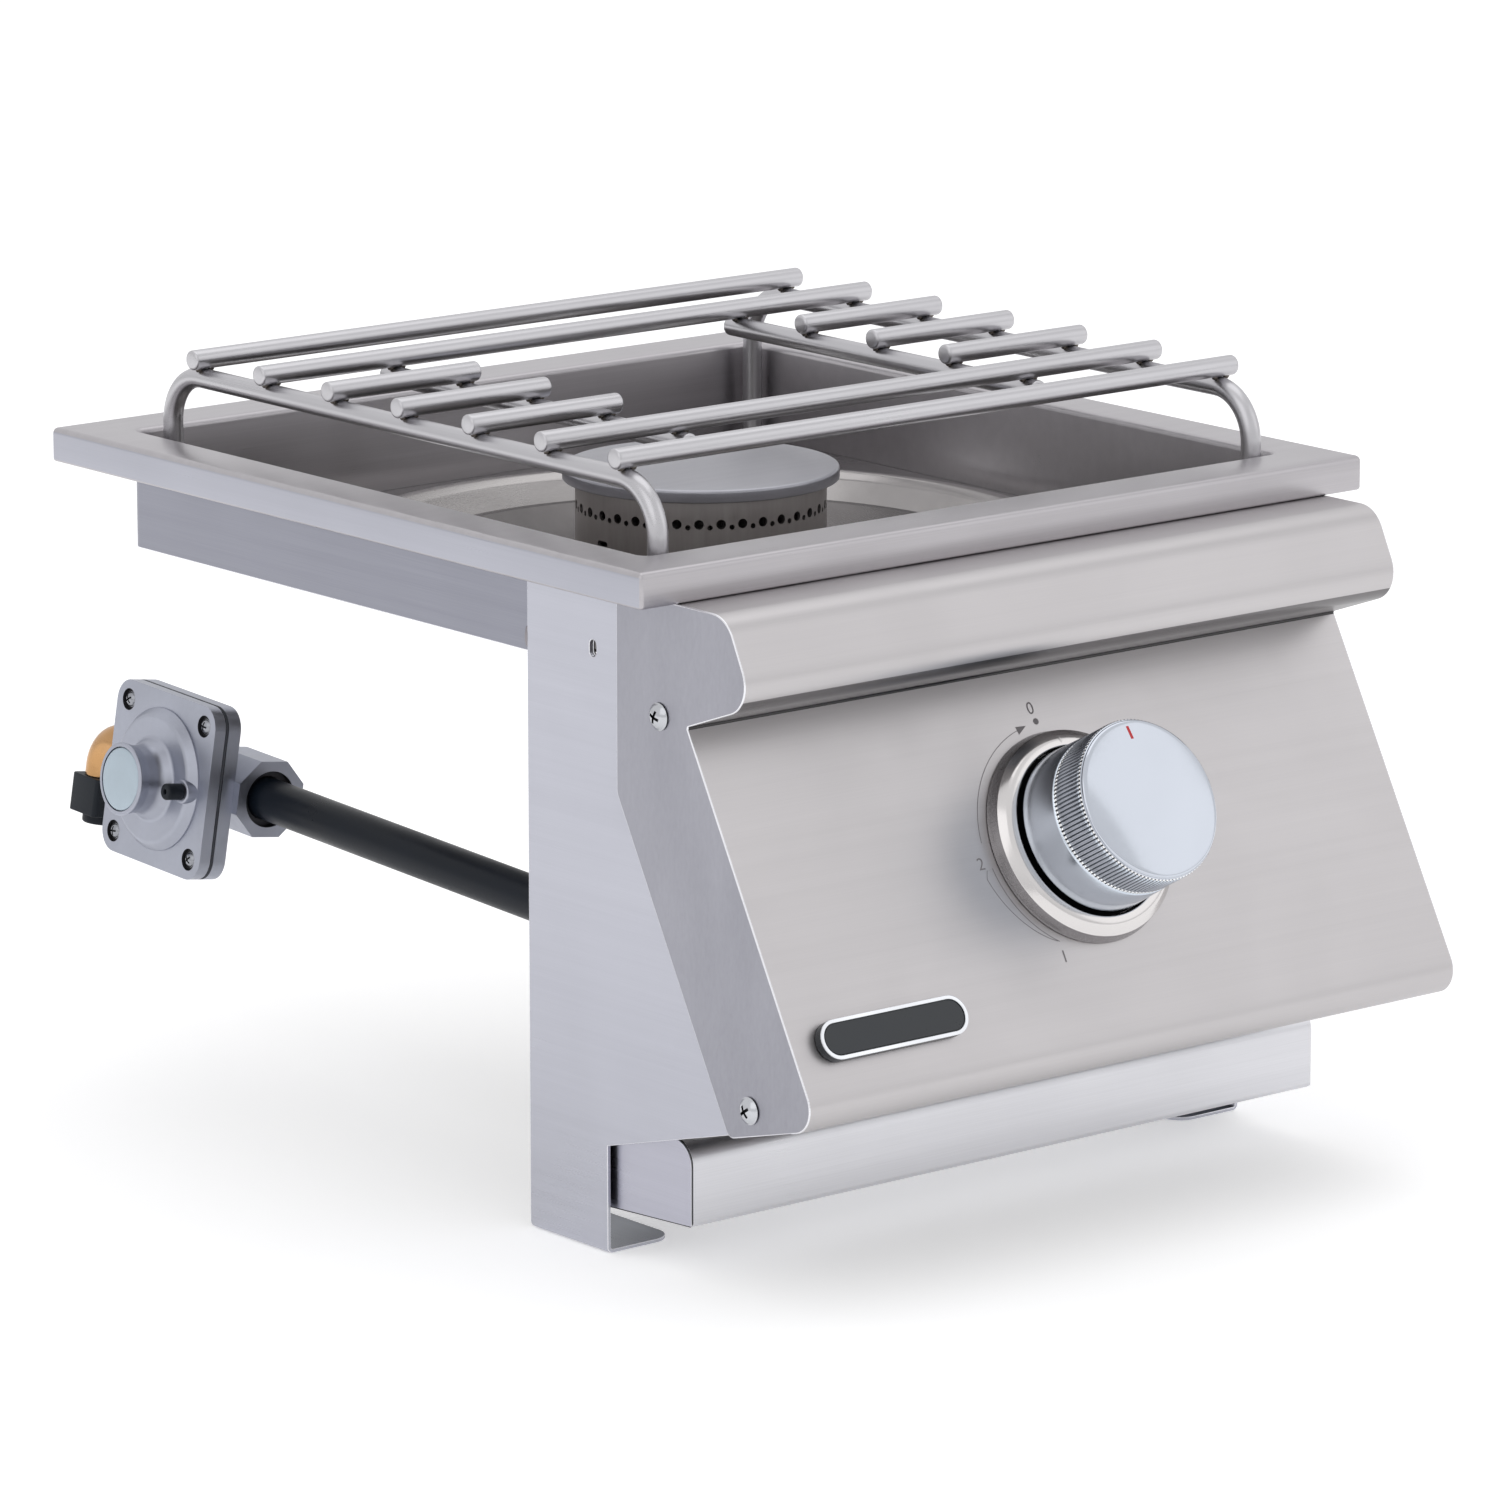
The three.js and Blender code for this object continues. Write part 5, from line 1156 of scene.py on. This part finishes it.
ink_line, sweep_radius, crescent_radius, crescent_start = 0.25, 45.5, 44.4, 97
arrow_tip, arrow_left, arrow_right = polar(45.6, 8.5), polar(46.9, 14.6), polar(43.7, 14.8)
dot_x, dot_y = polar(46.1, 1.6)
dot_edge = [(dot_x + x, dot_y + y) for x, y, _ in circle(1.25, 0, 24)]
dial = joined(
    line_along(lambda share: sweep_radius, 14, 84),
    ribbon([arrow_left, arrow_tip], [arrow_right, arrow_tip]),
    prism(dot_edge, 0, ink_height),
    line_along(lambda share: crescent_radius + 0.2 + crescent_width(share), crescent_start, 146),
    line_along(lambda share: crescent_radius, crescent_start, 147),
    line_along(lambda share: crescent_radius + crescent_width(0) * share, crescent_start,
               crescent_start + 0.4, 3),
)
piece("dial_marks", dial, ink, "frame", at=knob_place @ Matrix.Translation((0, 0, 0.02)), sharp=20)


numeral_size, numeral_thinned = 6.8, 0.03


def numeral(text, x, y):
    """A plain number in the built-in face, flat on the panel, its strokes a little thinned."""
    words = bpy.data.curves.new("numeral_" + text, "FONT")
    words.body = text
    words.size = numeral_size * MM
    words.align_x, words.align_y = "CENTER", "CENTER"
    words.extrude = ink_height / 2 * MM
    words.offset = -numeral_thinned * MM
    holder = bpy.data.objects.new("numeral_" + text, words)
    scene.collection.objects.link(holder)
    bpy.context.view_layer.update()
    graph = bpy.context.evaluated_depsgraph_get()
    mesh = bpy.data.meshes.new_from_object(holder.evaluated_get(graph))
    bpy.data.objects.remove(holder)
    place = knob_place.copy()
    place.translation *= MM
    mesh.transform(place @ Matrix.Translation((x * MM, y * MM, ink_height * MM)))
    mesh.materials.clear()
    mesh.materials.append(ink)
    item = bpy.data.objects.new("dial_number_" + text, mesh)
    scene.collection.objects.link(item)
    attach(item, "frame")


numeral("0", -2.0, 51.2)
numeral("2", -48.6, -3.2)
numeral("1", -24.2, -43.2)


# ---- Badge
# A rounded plate on the panel with a bright raised border round a dark, blank face.
badge_dark = cast_or_turned("badge_dark", tone(36, 40, 45), 0.3, 0, 1500, 0.004)
badge_bright = cast_or_turned("badge_bright", tone(226, 228, 232), 0.16, 1, 1500, 0.003, 0.03)
badge_place = knob_place @ Matrix.Translation((-114.7, -56.3, 0))
badge_thick, border_foot, border_top = 3.6, 3.62, 4.3
outer_edge, inner_edge, blank_edge = (stadium(length, width, 16) for length, width in
                                      ((69, 15.2), (66, 12.2), (65.2, 11.4)))
plate = piece("badge_plate_body", prism(outer_edge, hair, badge_thick), badge_dark, "frame",
              "badge_plate", at=badge_place, slot="badge_dark")
eased(plate, 0.3, 3)
blank = piece("badge_face", prism(blank_edge, badge_thick - 0.2, badge_thick + 0.4), badge_dark,
              "frame", at=badge_place, slot="badge_dark")
eased(blank, 0.15, 2)
border_rings = [[(x, y, height) for x, y in edge] for edge, height in (
    (outer_edge, border_foot), (outer_edge, border_top),
    (inner_edge, border_top), (inner_edge, border_foot))]
border = piece("badge_border_ring", loop_of(border_rings), badge_bright, "frame", "badge_border",
               at=badge_place, slot="badge_silver")
eased(border, 0.25, 3)


# ---- Bezel
# A spun ring of satin stainless round the knob: a conical wall painted darker grey for shade,
# a sloping bright face that catches the light, a bore painted near-black for shade with a thin
# black liner put in for the same shade, and a small notch at the top for off.
bezel_satin = cast_or_turned("bezel_satin", tone(214, 211, 210), 0.16, 1, 2400, 0.0003, 0.01,
                             (0.98, 1.02))
bezel_wall_painted_shade = cast_or_turned("bezel_wall_painted_shade", tone(164, 162, 163), 0.26, 1, 2400, 0.0005, 0.02,
                            (0.96, 1.03))
bezel_bore_painted_shade = cast_or_turned("bezel_bore_painted_shade", tone(14, 15, 17), 0.6, 0, 2400, 0.002, 0.02, shine=0.1)
bezel_inner, bezel_throat, bezel_height = 32.9, 5.4, 8.75
notch_radius, notch_at, notch_slope = 0.8, (37.6, 8.4), math.radians(72)
liner_outer, liner_inner, liner_hole = 32.4, 31.6, 8.4
liner_low, liner_floor, liner_top = 0.1, 0.8, 4.6
bezel_profile = flat((38.6, hair), (41.6, hair, 0.3), (40.3, bezel_throat, 0.5), (36.9, 8.2, 5),
                     (bezel_inner, bezel_height, 1.1), (bezel_inner, bezel_throat),
                     (33.6, liner_top), (38.6, hair), steps=6)[:-1]
bezel = piece("bezel_ring", turned(bezel_profile, 192, True), bezel_satin, "frame", "bezel",
              at=knob_place, slot="satin_zinc")
bored(bezel, turned_solid(16, (notch_radius, -8), (notch_radius, 8)),
      knob_place @ Matrix.Translation((0, *notch_at)) @ Matrix.Rotation(notch_slope, 4, "X"))
bezel.data.set_sharp_from_angle(angle=math.radians(30))
bezel.data.materials.append(bezel_wall_painted_shade)
bezel.data.materials.append(bezel_bore_painted_shade)
liner_profile = [(liner_hole, liner_low), (liner_outer, liner_low), (liner_outer, liner_top),
                 (liner_inner, liner_top), (liner_inner, liner_floor), (liner_hole, liner_floor)]
# Painted shade: a black liner in the bore, where there is only shade.
piece("bezel_shade_liner", turned(liner_profile, 96, True), bezel_bore_painted_shade, "frame", at=knob_place,
      slot="black_plastic")
to_knob = knob_place.inverted()
# Painted shade: the outer wall takes the darker grey, the bore faces the near-black.
for face in bezel.data.polygons:
    spot = to_knob @ (face.center / MM)
    way = to_knob.to_3x3() @ face.normal
    outward = (way.x * spot.x + way.y * spot.y) / math.hypot(spot.x, spot.y)
    face.material_index = 1 if outward > 0.9 else 2 if outward < -0.75 else 0


# ---- Knob
# Die-cast, hollow behind, bright chromed. A smooth skirt, a band of fine ribs between two
# rows of beads, a domed face and a red index mark let into it. It turns and pushes in.
chrome = cast_or_turned("knob_chrome", tone(197, 202, 211), 0.12, 1, 900, 0.0003, 0.01,
                        (0.98, 1.02))
skirt_chrome = cast_or_turned("skirt_chrome", tone(206, 214, 224), 0.2, 1, 900, 0.0001, 0.02,
                              (0.97, 1.03))
# Painted shade in the rib valleys and between the beads, painted highlight on bead crests.
groove_painted_shade = cast_or_turned("groove_painted_shade", tone(116, 122, 130), 0.35, 1, 900, 0.001)
knob_bead_painted_highlight = cast_or_turned("knob_bead_painted_highlight", tone(246, 248, 250), 0.12, 1, 900, 0.0003, 0.01)
bead_gap_painted_shade = cast_or_turned("bead_gap_painted_shade", tone(42, 45, 50), 0.4, 1, 900, 0.001)
red_paint = cast_or_turned("index_red", tone(196, 34, 38), 0.35, 0, 1200, 0.004)
knob_radius, knob_rear, knurl_start, knurl_end, knurl_radius = 32.3, 9.3, 28.6, 44.4, 31.5
face_radius, face_height, crown, knurl_ribs, rib_steps = 30.5, 45.8, 2.7, 120, 6
knurl_depth, bead_length, knurl_taper = 0.62, 1, 1.7
cavity_radius, cavity_top, hub_bore, hub_radius, hub_start = 27.8, 42.6, 3.3, 7, 13.8
index_length, index_middle, index_lift, index_thick = 6.5, 25.6, 0.06, 0.6


def knob_form():
    columns = knurl_ribs * rib_steps

    def ring(radius, height):
        return circle(radius, height, columns)

    def wavy(valley, peak, height, power):
        """A ring that rises and falls once with every rib."""
        made = []
        for i in range(columns):
            wave = abs(math.cos(math.pi * i / rib_steps)) ** power
            reach = valley + (peak - valley) * wave
            angle = 2 * math.pi * i / columns
            made.append((reach * math.cos(angle), reach * math.sin(angle), height))
        return made

    low = knurl_radius - knurl_depth

    def beads(start):
        for share, lift in ((0, 0), (0.18, 0.6), (0.5, 1), (0.82, 0.6), (1, 0)):
            rings.append(wavy(low, low + 0.12 + 0.5 * lift, start + share * bead_length, 2.2))

    rings = [ring(cavity_radius, cavity_top), ring(29.4, knob_rear + 0.4), ring(29.8, knob_rear)]
    rings += [ring(*spot) for spot in flat((30.6, knob_rear), (knob_radius, knob_rear, 1.5),
                                           (knurl_radius + 0.15, knurl_start - 0.8), steps=6)]
    rings += [ring(knurl_radius, knurl_start - 0.5), ring(knurl_radius - 0.35, knurl_start - 0.15)]
    beads(knurl_start)
    rings.append(wavy(low, low + 0.3, knurl_start + bead_length + 0.25, 1))
    rings.append(wavy(low, low + 0.55, knurl_start + knurl_taper, 0.8))
    rings.append(wavy(low, low + 0.55, knurl_end - knurl_taper, 0.8))
    rings.append(wavy(low, low + 0.3, knurl_end - bead_length - 0.25, 1))
    beads(knurl_end - bead_length)
    rings += [ring(low + 0.1, knurl_end + 0.15), ring(face_radius + 0.1, knurl_end + 0.35)]
    rings += [ring(face_radius + 0.12, knurl_end + 0.8), ring(face_radius - 0.2, face_height - 0.1)]
    for share in (0.97, 0.94, 0.9, 0.82, 0.72, 0.6, 0.46, 0.3, 0.14):
        rings.append(ring(face_radius * share, face_height + crown * (1 - share ** 2)))
    points, faces = loop_of(rings, False)
    faces.append(tuple(range(columns)))
    faces.append(tuple(len(points) - columns + i for i in range(columns)))
    hub_end = cavity_top + 0.2
    hub = turned([(hub_bore, hub_start), (hub_radius, hub_start), (hub_radius, hub_end),
                  (hub_bore, hub_end)], 40, True)
    return joined((points, faces), hub)


knob = piece("knob_chromed", knob_form(), chrome, "knob", "knob", at=knob_place, sharp=60,
             slot="knob_chrome")
for finish in (skirt_chrome, groove_painted_shade, knob_bead_painted_highlight, bead_gap_painted_shade):
    knob.data.materials.append(finish)
# Painted shade in the rib valleys and between the beads, painted highlight on bead crests.
for face in knob.data.polygons:
    spot = to_knob @ (face.center / MM)
    rib_share = math.atan2(spot.y, spot.x) * knurl_ribs / (2 * math.pi) % 1
    in_valley = 0.37 < rib_share < 0.63
    in_beads = min(abs(spot.z - knurl_start - bead_length / 2),
                   abs(spot.z - knurl_end + bead_length / 2)) < 0.62
    if math.hypot(spot.x, spot.y) < 30 or spot.z > knurl_end + 0.12:
        face.material_index = 0
    elif spot.z < knurl_start - 0.12:
        face.material_index = 1
    elif in_beads:
        face.material_index = 4 if in_valley else 3
    else:
        face.material_index = 2 if in_valley else 1


def index_form():
    """A low strip that follows the domed face; its edges lie below the face."""
    points, rows = [], []
    for k in range(9):
        y = index_middle - index_length / 2 + index_length * k / 8
        row = []
        for x in (-0.8, -0.6, 0.6, 0.8):
            lift = index_lift if abs(x) < 0.7 and 0 < k < 8 else -0.25
            distance = math.hypot(x, y)
            z = face_height + crown * (1 - (distance / face_radius) ** 2) + lift
            row.append(len(points))
            points.append((x, y, z))
        rows.append(row)
    faces = [(a[j], a[j + 1], b[j + 1], b[j]) for a, b in zip(rows, rows[1:]) for j in range(3)]
    count = len(points)
    points += [(x, y, z - index_thick) for x, y, z in points]
    faces += [tuple(i + count for i in face[::-1]) for face in faces]
    rim = [rows[0][j] for j in range(4)] + [row[3] for row in rows[1:]]
    rim += [rows[-1][j] for j in (2, 1, 0)] + [row[0] for row in rows[-2:0:-1]]
    faces += [(rim[i], rim[(i + 1) % len(rim)], rim[(i + 1) % len(rim)] + count, rim[i] + count)
              for i in range(len(rim))]
    return points, faces


piece("knob_index_mark", index_form(), red_paint, "knob", "knob_index", at=knob_place,
      slot="red_mark")


# ---- Valve, stem and igniter
# Behind the panel: a brass valve on two posts with its turning stem, a steel washer that is
# pushed with the knob, and a black spark box.
black_plastic = cast_or_turned("black_plastic", tone(28, 33, 40), 0.48, 0, 1200, 0.02, shine=0.2)
carried("valve_body", brass)
carried("igniter_box", black_plastic)
stem_radius, stem_rear, stem_front, stem_chamfer = 3, -40, 30, (0.4, 0.6)
piece("stem_rod",
      turned_solid(40, (stem_radius - stem_chamfer[0], stem_rear),
                   (stem_radius, stem_rear + stem_chamfer[1]),
                   (stem_radius, stem_front - stem_chamfer[1]),
                   (stem_radius - stem_chamfer[0], stem_front)),
      screw_steel, "knob", "valve_stem", at=knob_place, slot="screw_steel")
carried("thrust_washer", screw_steel)


# ---- Lower front pan
# A shallow folded tray between the side panels, with a rolled front edge and a bottom that
# slopes to the rear. Its side walls are separate plates, so a fine seam shows at each corner.
pan_half = side_inner - 2.4
tray_steel = brushed("tray_steel", tone(206, 206, 210), tone(218, 218, 222), along_x)
# Painted shade: a darker, bluish copy of the tray steel for the side faces.
tray_side_painted_shade = brushed("tray_side_painted_shade", tone(180, 180, 191), tone(192, 192, 203), along_y)
tray_seam = 0.55
tray_front, tray_back, tray_top, tray_foot, tray_slope = -1, 88, -201.5, -234.2, 3.2
tray_roll, tray_lip, tray_rise, tray_wall_back = 9.5, 26, 12, 50
tab_front, tab_bend, tab_back = 46, 58, 84


def tray_bottom(u):
    """The height of the sloping bottom at a depth behind the rim's front."""
    return tray_foot - (u - tray_front) * math.tan(math.radians(tray_slope))


def tray_form():
    face = flat((tray_back, tray_bottom(tray_back) + tray_rise),
                (tray_back, tray_bottom(tray_back), bend), (tray_front, tray_foot, bend),
                (tray_front, tray_top, tray_roll), (tray_lip, tray_top), steps=8)
    back = back_face(face, sheet)
    count = len(face)
    points = [(x, u, v) for x in (-pan_half, pan_half) for u, v in face + back]
    faces = []
    for i in range(count - 1):
        j = i + 1
        low, high = 0, 2 * count
        faces += [(low + i, low + j, high + j, high + i),
                  (low + count + i, high + count + i, high + count + j, low + count + j),
                  (low + i, low + count + i, low + count + j, low + j),
                  (high + i, high + j, high + count + j, high + count + i)]
    for i in (0, count - 1):
        faces.append((i, count + i, 3 * count + i, 2 * count + i))
    return points, faces


def tray_wall_form(side):
    inner, top = tray_front + tray_seam, tray_top - tray_seam
    edge = flat((inner, top, 9), (inner, tray_bottom(inner) + sheet / 2),
                (tray_wall_back, tray_bottom(tray_wall_back) + sheet / 2), (tray_wall_back, top),
                steps=6, closed=True)
    wall = prism(edge, pan_half - sheet / 2, pan_half + sheet / 2)
    return [(side * z, x, y) for x, y, z in wall[0]], wall[1]


def tray_tab_form(side):
    outer = side_inner - hair
    face = flat((outer, tab_back), (outer, tab_bend, bend), (pan_half, tray_wall_back, bend),
                (pan_half, tab_front), steps=5)
    section = face + back_face(face, sheet)[::-1]
    tab = prism(section, tray_bottom(tray_wall_back) + 1.5, tray_top - 1.9)
    return [(side * x, y, z) for x, y, z in tab[0]], tab[1]


tray = piece("lower_pan_folded", joined(
    tray_form(), *(form(side) for form in (tray_wall_form, tray_tab_form) for side in (-1, 1))),
    tray_steel, "frame", "lower_front_pan", at=at_front, slot="brushed_steel")
for finish in (tray_side_painted_shade, crease_and_seam_shade):
    tray.data.materials.append(finish)
# Painted shade: side faces take the bluish copy, the sheet ends in the corner seams the dark one.
for face in tray.data.polygons:
    is_side, is_sheet_end = abs(face.normal.x) > 0.9, abs(abs(face.center.x) / MM - pan_half) < 0.1
    face.material_index = (2 if is_sheet_end else 1) if is_side else 0
eased(tray, 0.12, 2, 50)


# ---- Manifold and gas pipe
# Black iron pipe: a short manifold under the valve with a cap and an elbow, and the long pipe
# that runs back to the regulator. The skin has a faint mill scale.
black_iron = cast_or_turned("black_iron", tone(19, 25, 34), 0.34, 0, 800, 0.01, 0.05, shine=0.14)
carried("manifold_pipe", black_iron)
carried("manifold_end_cap", black_iron)
carried("manifold_elbow", black_iron)
manifold_at = knob_place @ Vector((0, -30.6, -35))
pipe_aside, pipe_yaw, pipe_pitch = -123.6, math.radians(-2), math.radians(1.75)
pipe_start, pipe_end, pipe_radius, pipe_bore = 12.3, 349, 8.55, 6.25
pipe_place = (Matrix.Translation(manifold_at + Vector((pipe_aside, 0, 0)))
              @ Matrix.Rotation(pipe_yaw, 4, "Z") @ Matrix.Rotation(pipe_pitch, 4, "X"))
piece("gas_pipe_run",
      swept([((0, pipe_start, 0), 0), ((0, pipe_end, 0), 0)], pipe_radius, 48, pipe_bore),
      black_iron, "frame", "gas_pipe", at=pipe_place, slot="black_iron")


# ---- Regulator
# A die-cast aluminium body and cover with a rubber diaphragm between their square flanges,
# four screws, a capped tower and a small plastic vent. An octagonal boss takes the gas pipe.
cast_metal = cast_or_turned("cast_metal", tone(170, 173, 184), 0.4, 1, 420, 0.03, 0.06)
pale_cap = cast_or_turned("pale_cap", tone(182, 196, 206), 0.4, 0.5, 900, 0.01)
rubber = cast_or_turned("rubber", tone(66, 69, 76), 0.75, 0, 900, 0.03)
cover_screw = cast_or_turned("cover_screw", tone(160, 162, 168), 0.3, 1, 1400, 0.004, 0.05)
cast_shade = cast_or_turned("cast_shade", tone(62, 62, 66), 0.5, 0.7, 800, 0.02)
regulator_reach, regulator_tilt = 378, math.radians(8)
turn_out = Matrix(((0, 0, -1, 0), (-1, 0, 0, regulator_reach), (0, 1, 0, 0), (0, 0, 0, 1)))
regulator_place = pipe_place @ Matrix.Rotation(regulator_tilt, 4, "Y") @ turn_out
flange_half, flange_corner, screw_half = 35, 9, 26.9
body_back, flange_rear, flange_front = 1.1, 15.1, 20.9
gasket_back, gasket_thick = 21.2, 0.9
cover_back, cover_front = 22.4, 27.4
hub_face, hub_wide = 18, 24
boss_radius, boss_end, socket_radius, socket_floor = 16.56, 39, 11.4, 36
outlet_bore, outlet_floor = 8.85, 28.7
inlet_radius, inlet_end, inlet_bore, inlet_floor = 12, -44, 8.3, -34
quarters = ((-1, 1), (1, 1), (1, -1), (-1, -1))
plate_edge = flat(*((-x * flange_half, y * flange_half, flange_corner) for x, y in quarters),
                  steps=8, closed=True)
corner_spots = [(x * screw_half, y * screw_half) for x, y in quarters]


def united(item, form, at):
    combined(item, form, at, "UNION")


def out_along_x(form):
    return [(z, y, -x) for x, y, z in form[0]], form[1]


body = piece("regulator_casting", prism(plate_edge, flange_rear, flange_front), cast_metal,
             "frame", "regulator_body", at=regulator_place, slot="cast_aluminium")
boss_edge = [(boss_radius * math.cos(math.radians(45 * k + 22.5)),
              boss_radius * math.sin(math.radians(45 * k + 22.5))) for k in range(8)]
united(body, turned_solid(64, (8, body_back), (hub_face, body_back, 3), (hub_wide, flange_rear),
                          (hub_wide, 18), steps=6), regulator_place)
united(body, out_along_x(prism(boss_edge, 10, boss_end)), regulator_place)
united(body, out_along_x(turned_solid(48, (6, inlet_end), (inlet_radius, inlet_end, 1),
                                      (inlet_radius, 20))), regulator_place)
bored(body, out_along_x(turned_solid(48, (outlet_bore, outlet_floor), (outlet_bore, socket_floor),
                                     (socket_radius, socket_floor), (socket_radius, 50))),
      regulator_place)
bored(body, out_along_x(turned_solid(48, (inlet_bore, -60), (inlet_bore, inlet_floor))),
      regulator_place)
body.data.materials.append(cast_shade)
to_regulator = regulator_place.inverted()
for face in body.data.polygons:
    spot = to_regulator @ (face.center / MM)
    in_socket = math.hypot(spot.y, spot.z) < socket_radius + 0.1
    face.material_index = int(28 < spot.x < boss_end - 0.1 and in_socket)
eased(body, 0.5, 3, 30)

piece("diaphragm_edge", prism(plate_edge, gasket_back, gasket_back + gasket_thick), rubber,
      "frame", "regulator_gasket", at=regulator_place, slot="gasket_rubber")

cover = piece("regulator_cover_casting", prism(plate_edge, cover_back, cover_front), cast_metal,
              "frame", "regulator_cover", at=regulator_place, slot="cast_aluminium")
tower_foot, tower_radius, tower_lip, tower_bore = 28.6, 13.4, 14.8, 12.9
shoulder, tower_top = cover_front + 4, cover_front + 18.3
well_radius, well_floor = 4.4, 25.8
vent_place = regulator_place @ Matrix.Translation((24, 0, 0))
vent_seat, vent_top, vent_well = cover_front + 5.4, cover_front + 13, cover_front + 11.5
united(cover, turned_solid(96, (tower_foot, cover_back + 1), (tower_foot, cover_front - 1),
                           (tower_foot, cover_front + 0.6, 0.5), (25.6, shoulder, 2.5),
                           (16.6, shoulder, 2), (tower_radius, cover_front + 8, 5),
                           (tower_radius, tower_top - 5, 5), (tower_lip, tower_top, 0.6),
                           (tower_bore, tower_top), (tower_bore, tower_top - 2.3), steps=6),
       regulator_place)
united(cover, turned_solid(32, (4.8, cover_front), (4.8, vent_seat, 0.8), (3, vent_seat)),
       vent_place)
for x, y in corner_spots:
    bored(cover, turned_solid(32, (well_radius, well_floor), (well_radius, 40)),
          regulator_place @ Matrix.Translation((x, y, 0)))
cover.data.materials.append(cast_shade)
for face in cover.data.polygons:
    spot = to_regulator @ (face.center / MM)
    from_corner = min(math.hypot(spot.x - x, spot.y - y) for x, y in corner_spots)
    in_well = from_corner < well_radius + 0.1 and spot.z > well_floor - 0.1
    face.material_index = int(in_well and spot.z < cover_front - 0.05)
eased(cover, 0.45, 3, 30)

cap_low = tower_top - 2
piece("tower_cap",
      turned_solid(64, (8, cap_low), (12.6, cap_low), (12.6, tower_top, 0.7), (8, tower_top)),
      pale_cap, "frame", "regulator_tower_cap", at=regulator_place, slot="pale_plastic")
piece("vent_plug",
      turned_solid(40, (2, vent_seat + hair), (3.3, vent_seat + hair), (3.3, vent_top, 0.9),
                   (1.1, vent_top, 0.2), (1.1, vent_well), (0.2, vent_well)),
      black_plastic, "frame", "regulator_vent", at=vent_place, slot="black_plastic")
for i, (x, y) in enumerate(corner_spots):
    at = (regulator_place @ Matrix.Translation((x, y, well_floor + hair))
          @ Matrix.Rotation(math.radians(35 + 50 * i), 4, "Z"))
    screw = piece("cover_screw_%d" % (i + 1), screw_form(3.1, 1.9, 1.7, 11), cover_screw, "frame",
                  "regulator_screw_%d" % (i + 1), at=at, slot="screw_steel")
    bored(screw, cross_form(3.6, 0.75, 1.0, 3), at)
    darken_recess(screw, at, 1.0, 1.9)


# ---- Inlet elbow and plug
# A brass elbow turns the inlet down; a black moulded plug closes it until it is piped up.
elbow_start, elbow_out, elbow_down, elbow_bend = -34.3, -77.5, -15, 11
elbow_radius, elbow_bore, plug_half, plug_top, plug_low, plug_end = 8, 5.3, 9.5, -15.3, -30.8, -34.8
piece("inlet_bend",
      swept([((elbow_start, 0, 0), 0), ((elbow_out, 0, 0), elbow_bend),
             ((elbow_out, elbow_down, 0), 0)], elbow_radius, 48, elbow_bore),
      brass, "frame", "inlet_elbow", at=regulator_place, slot="brass")
plug_square = flat(*((-x * plug_half, y * plug_half, 2) for x, y in quarters), steps=5, closed=True)
down_from_elbow = (regulator_place @ Matrix.Translation((elbow_out, 0, 0))
                   @ Matrix.Rotation(math.radians(-90), 4, "X"))
plug = piece("plug_moulding", prism(plug_square, plug_low, plug_top), black_plastic, "frame",
             "inlet_plug", at=down_from_elbow, slot="black_plastic")
united(plug, turned_solid(40, (5, -20), (5, -9.9), (4.4, -9.3)), down_from_elbow)
united(plug, turned_solid(40, (3, plug_end), (7, plug_end, 1), (7, -28.5)), down_from_elbow)
eased(plug, 0.5, 3, 30)
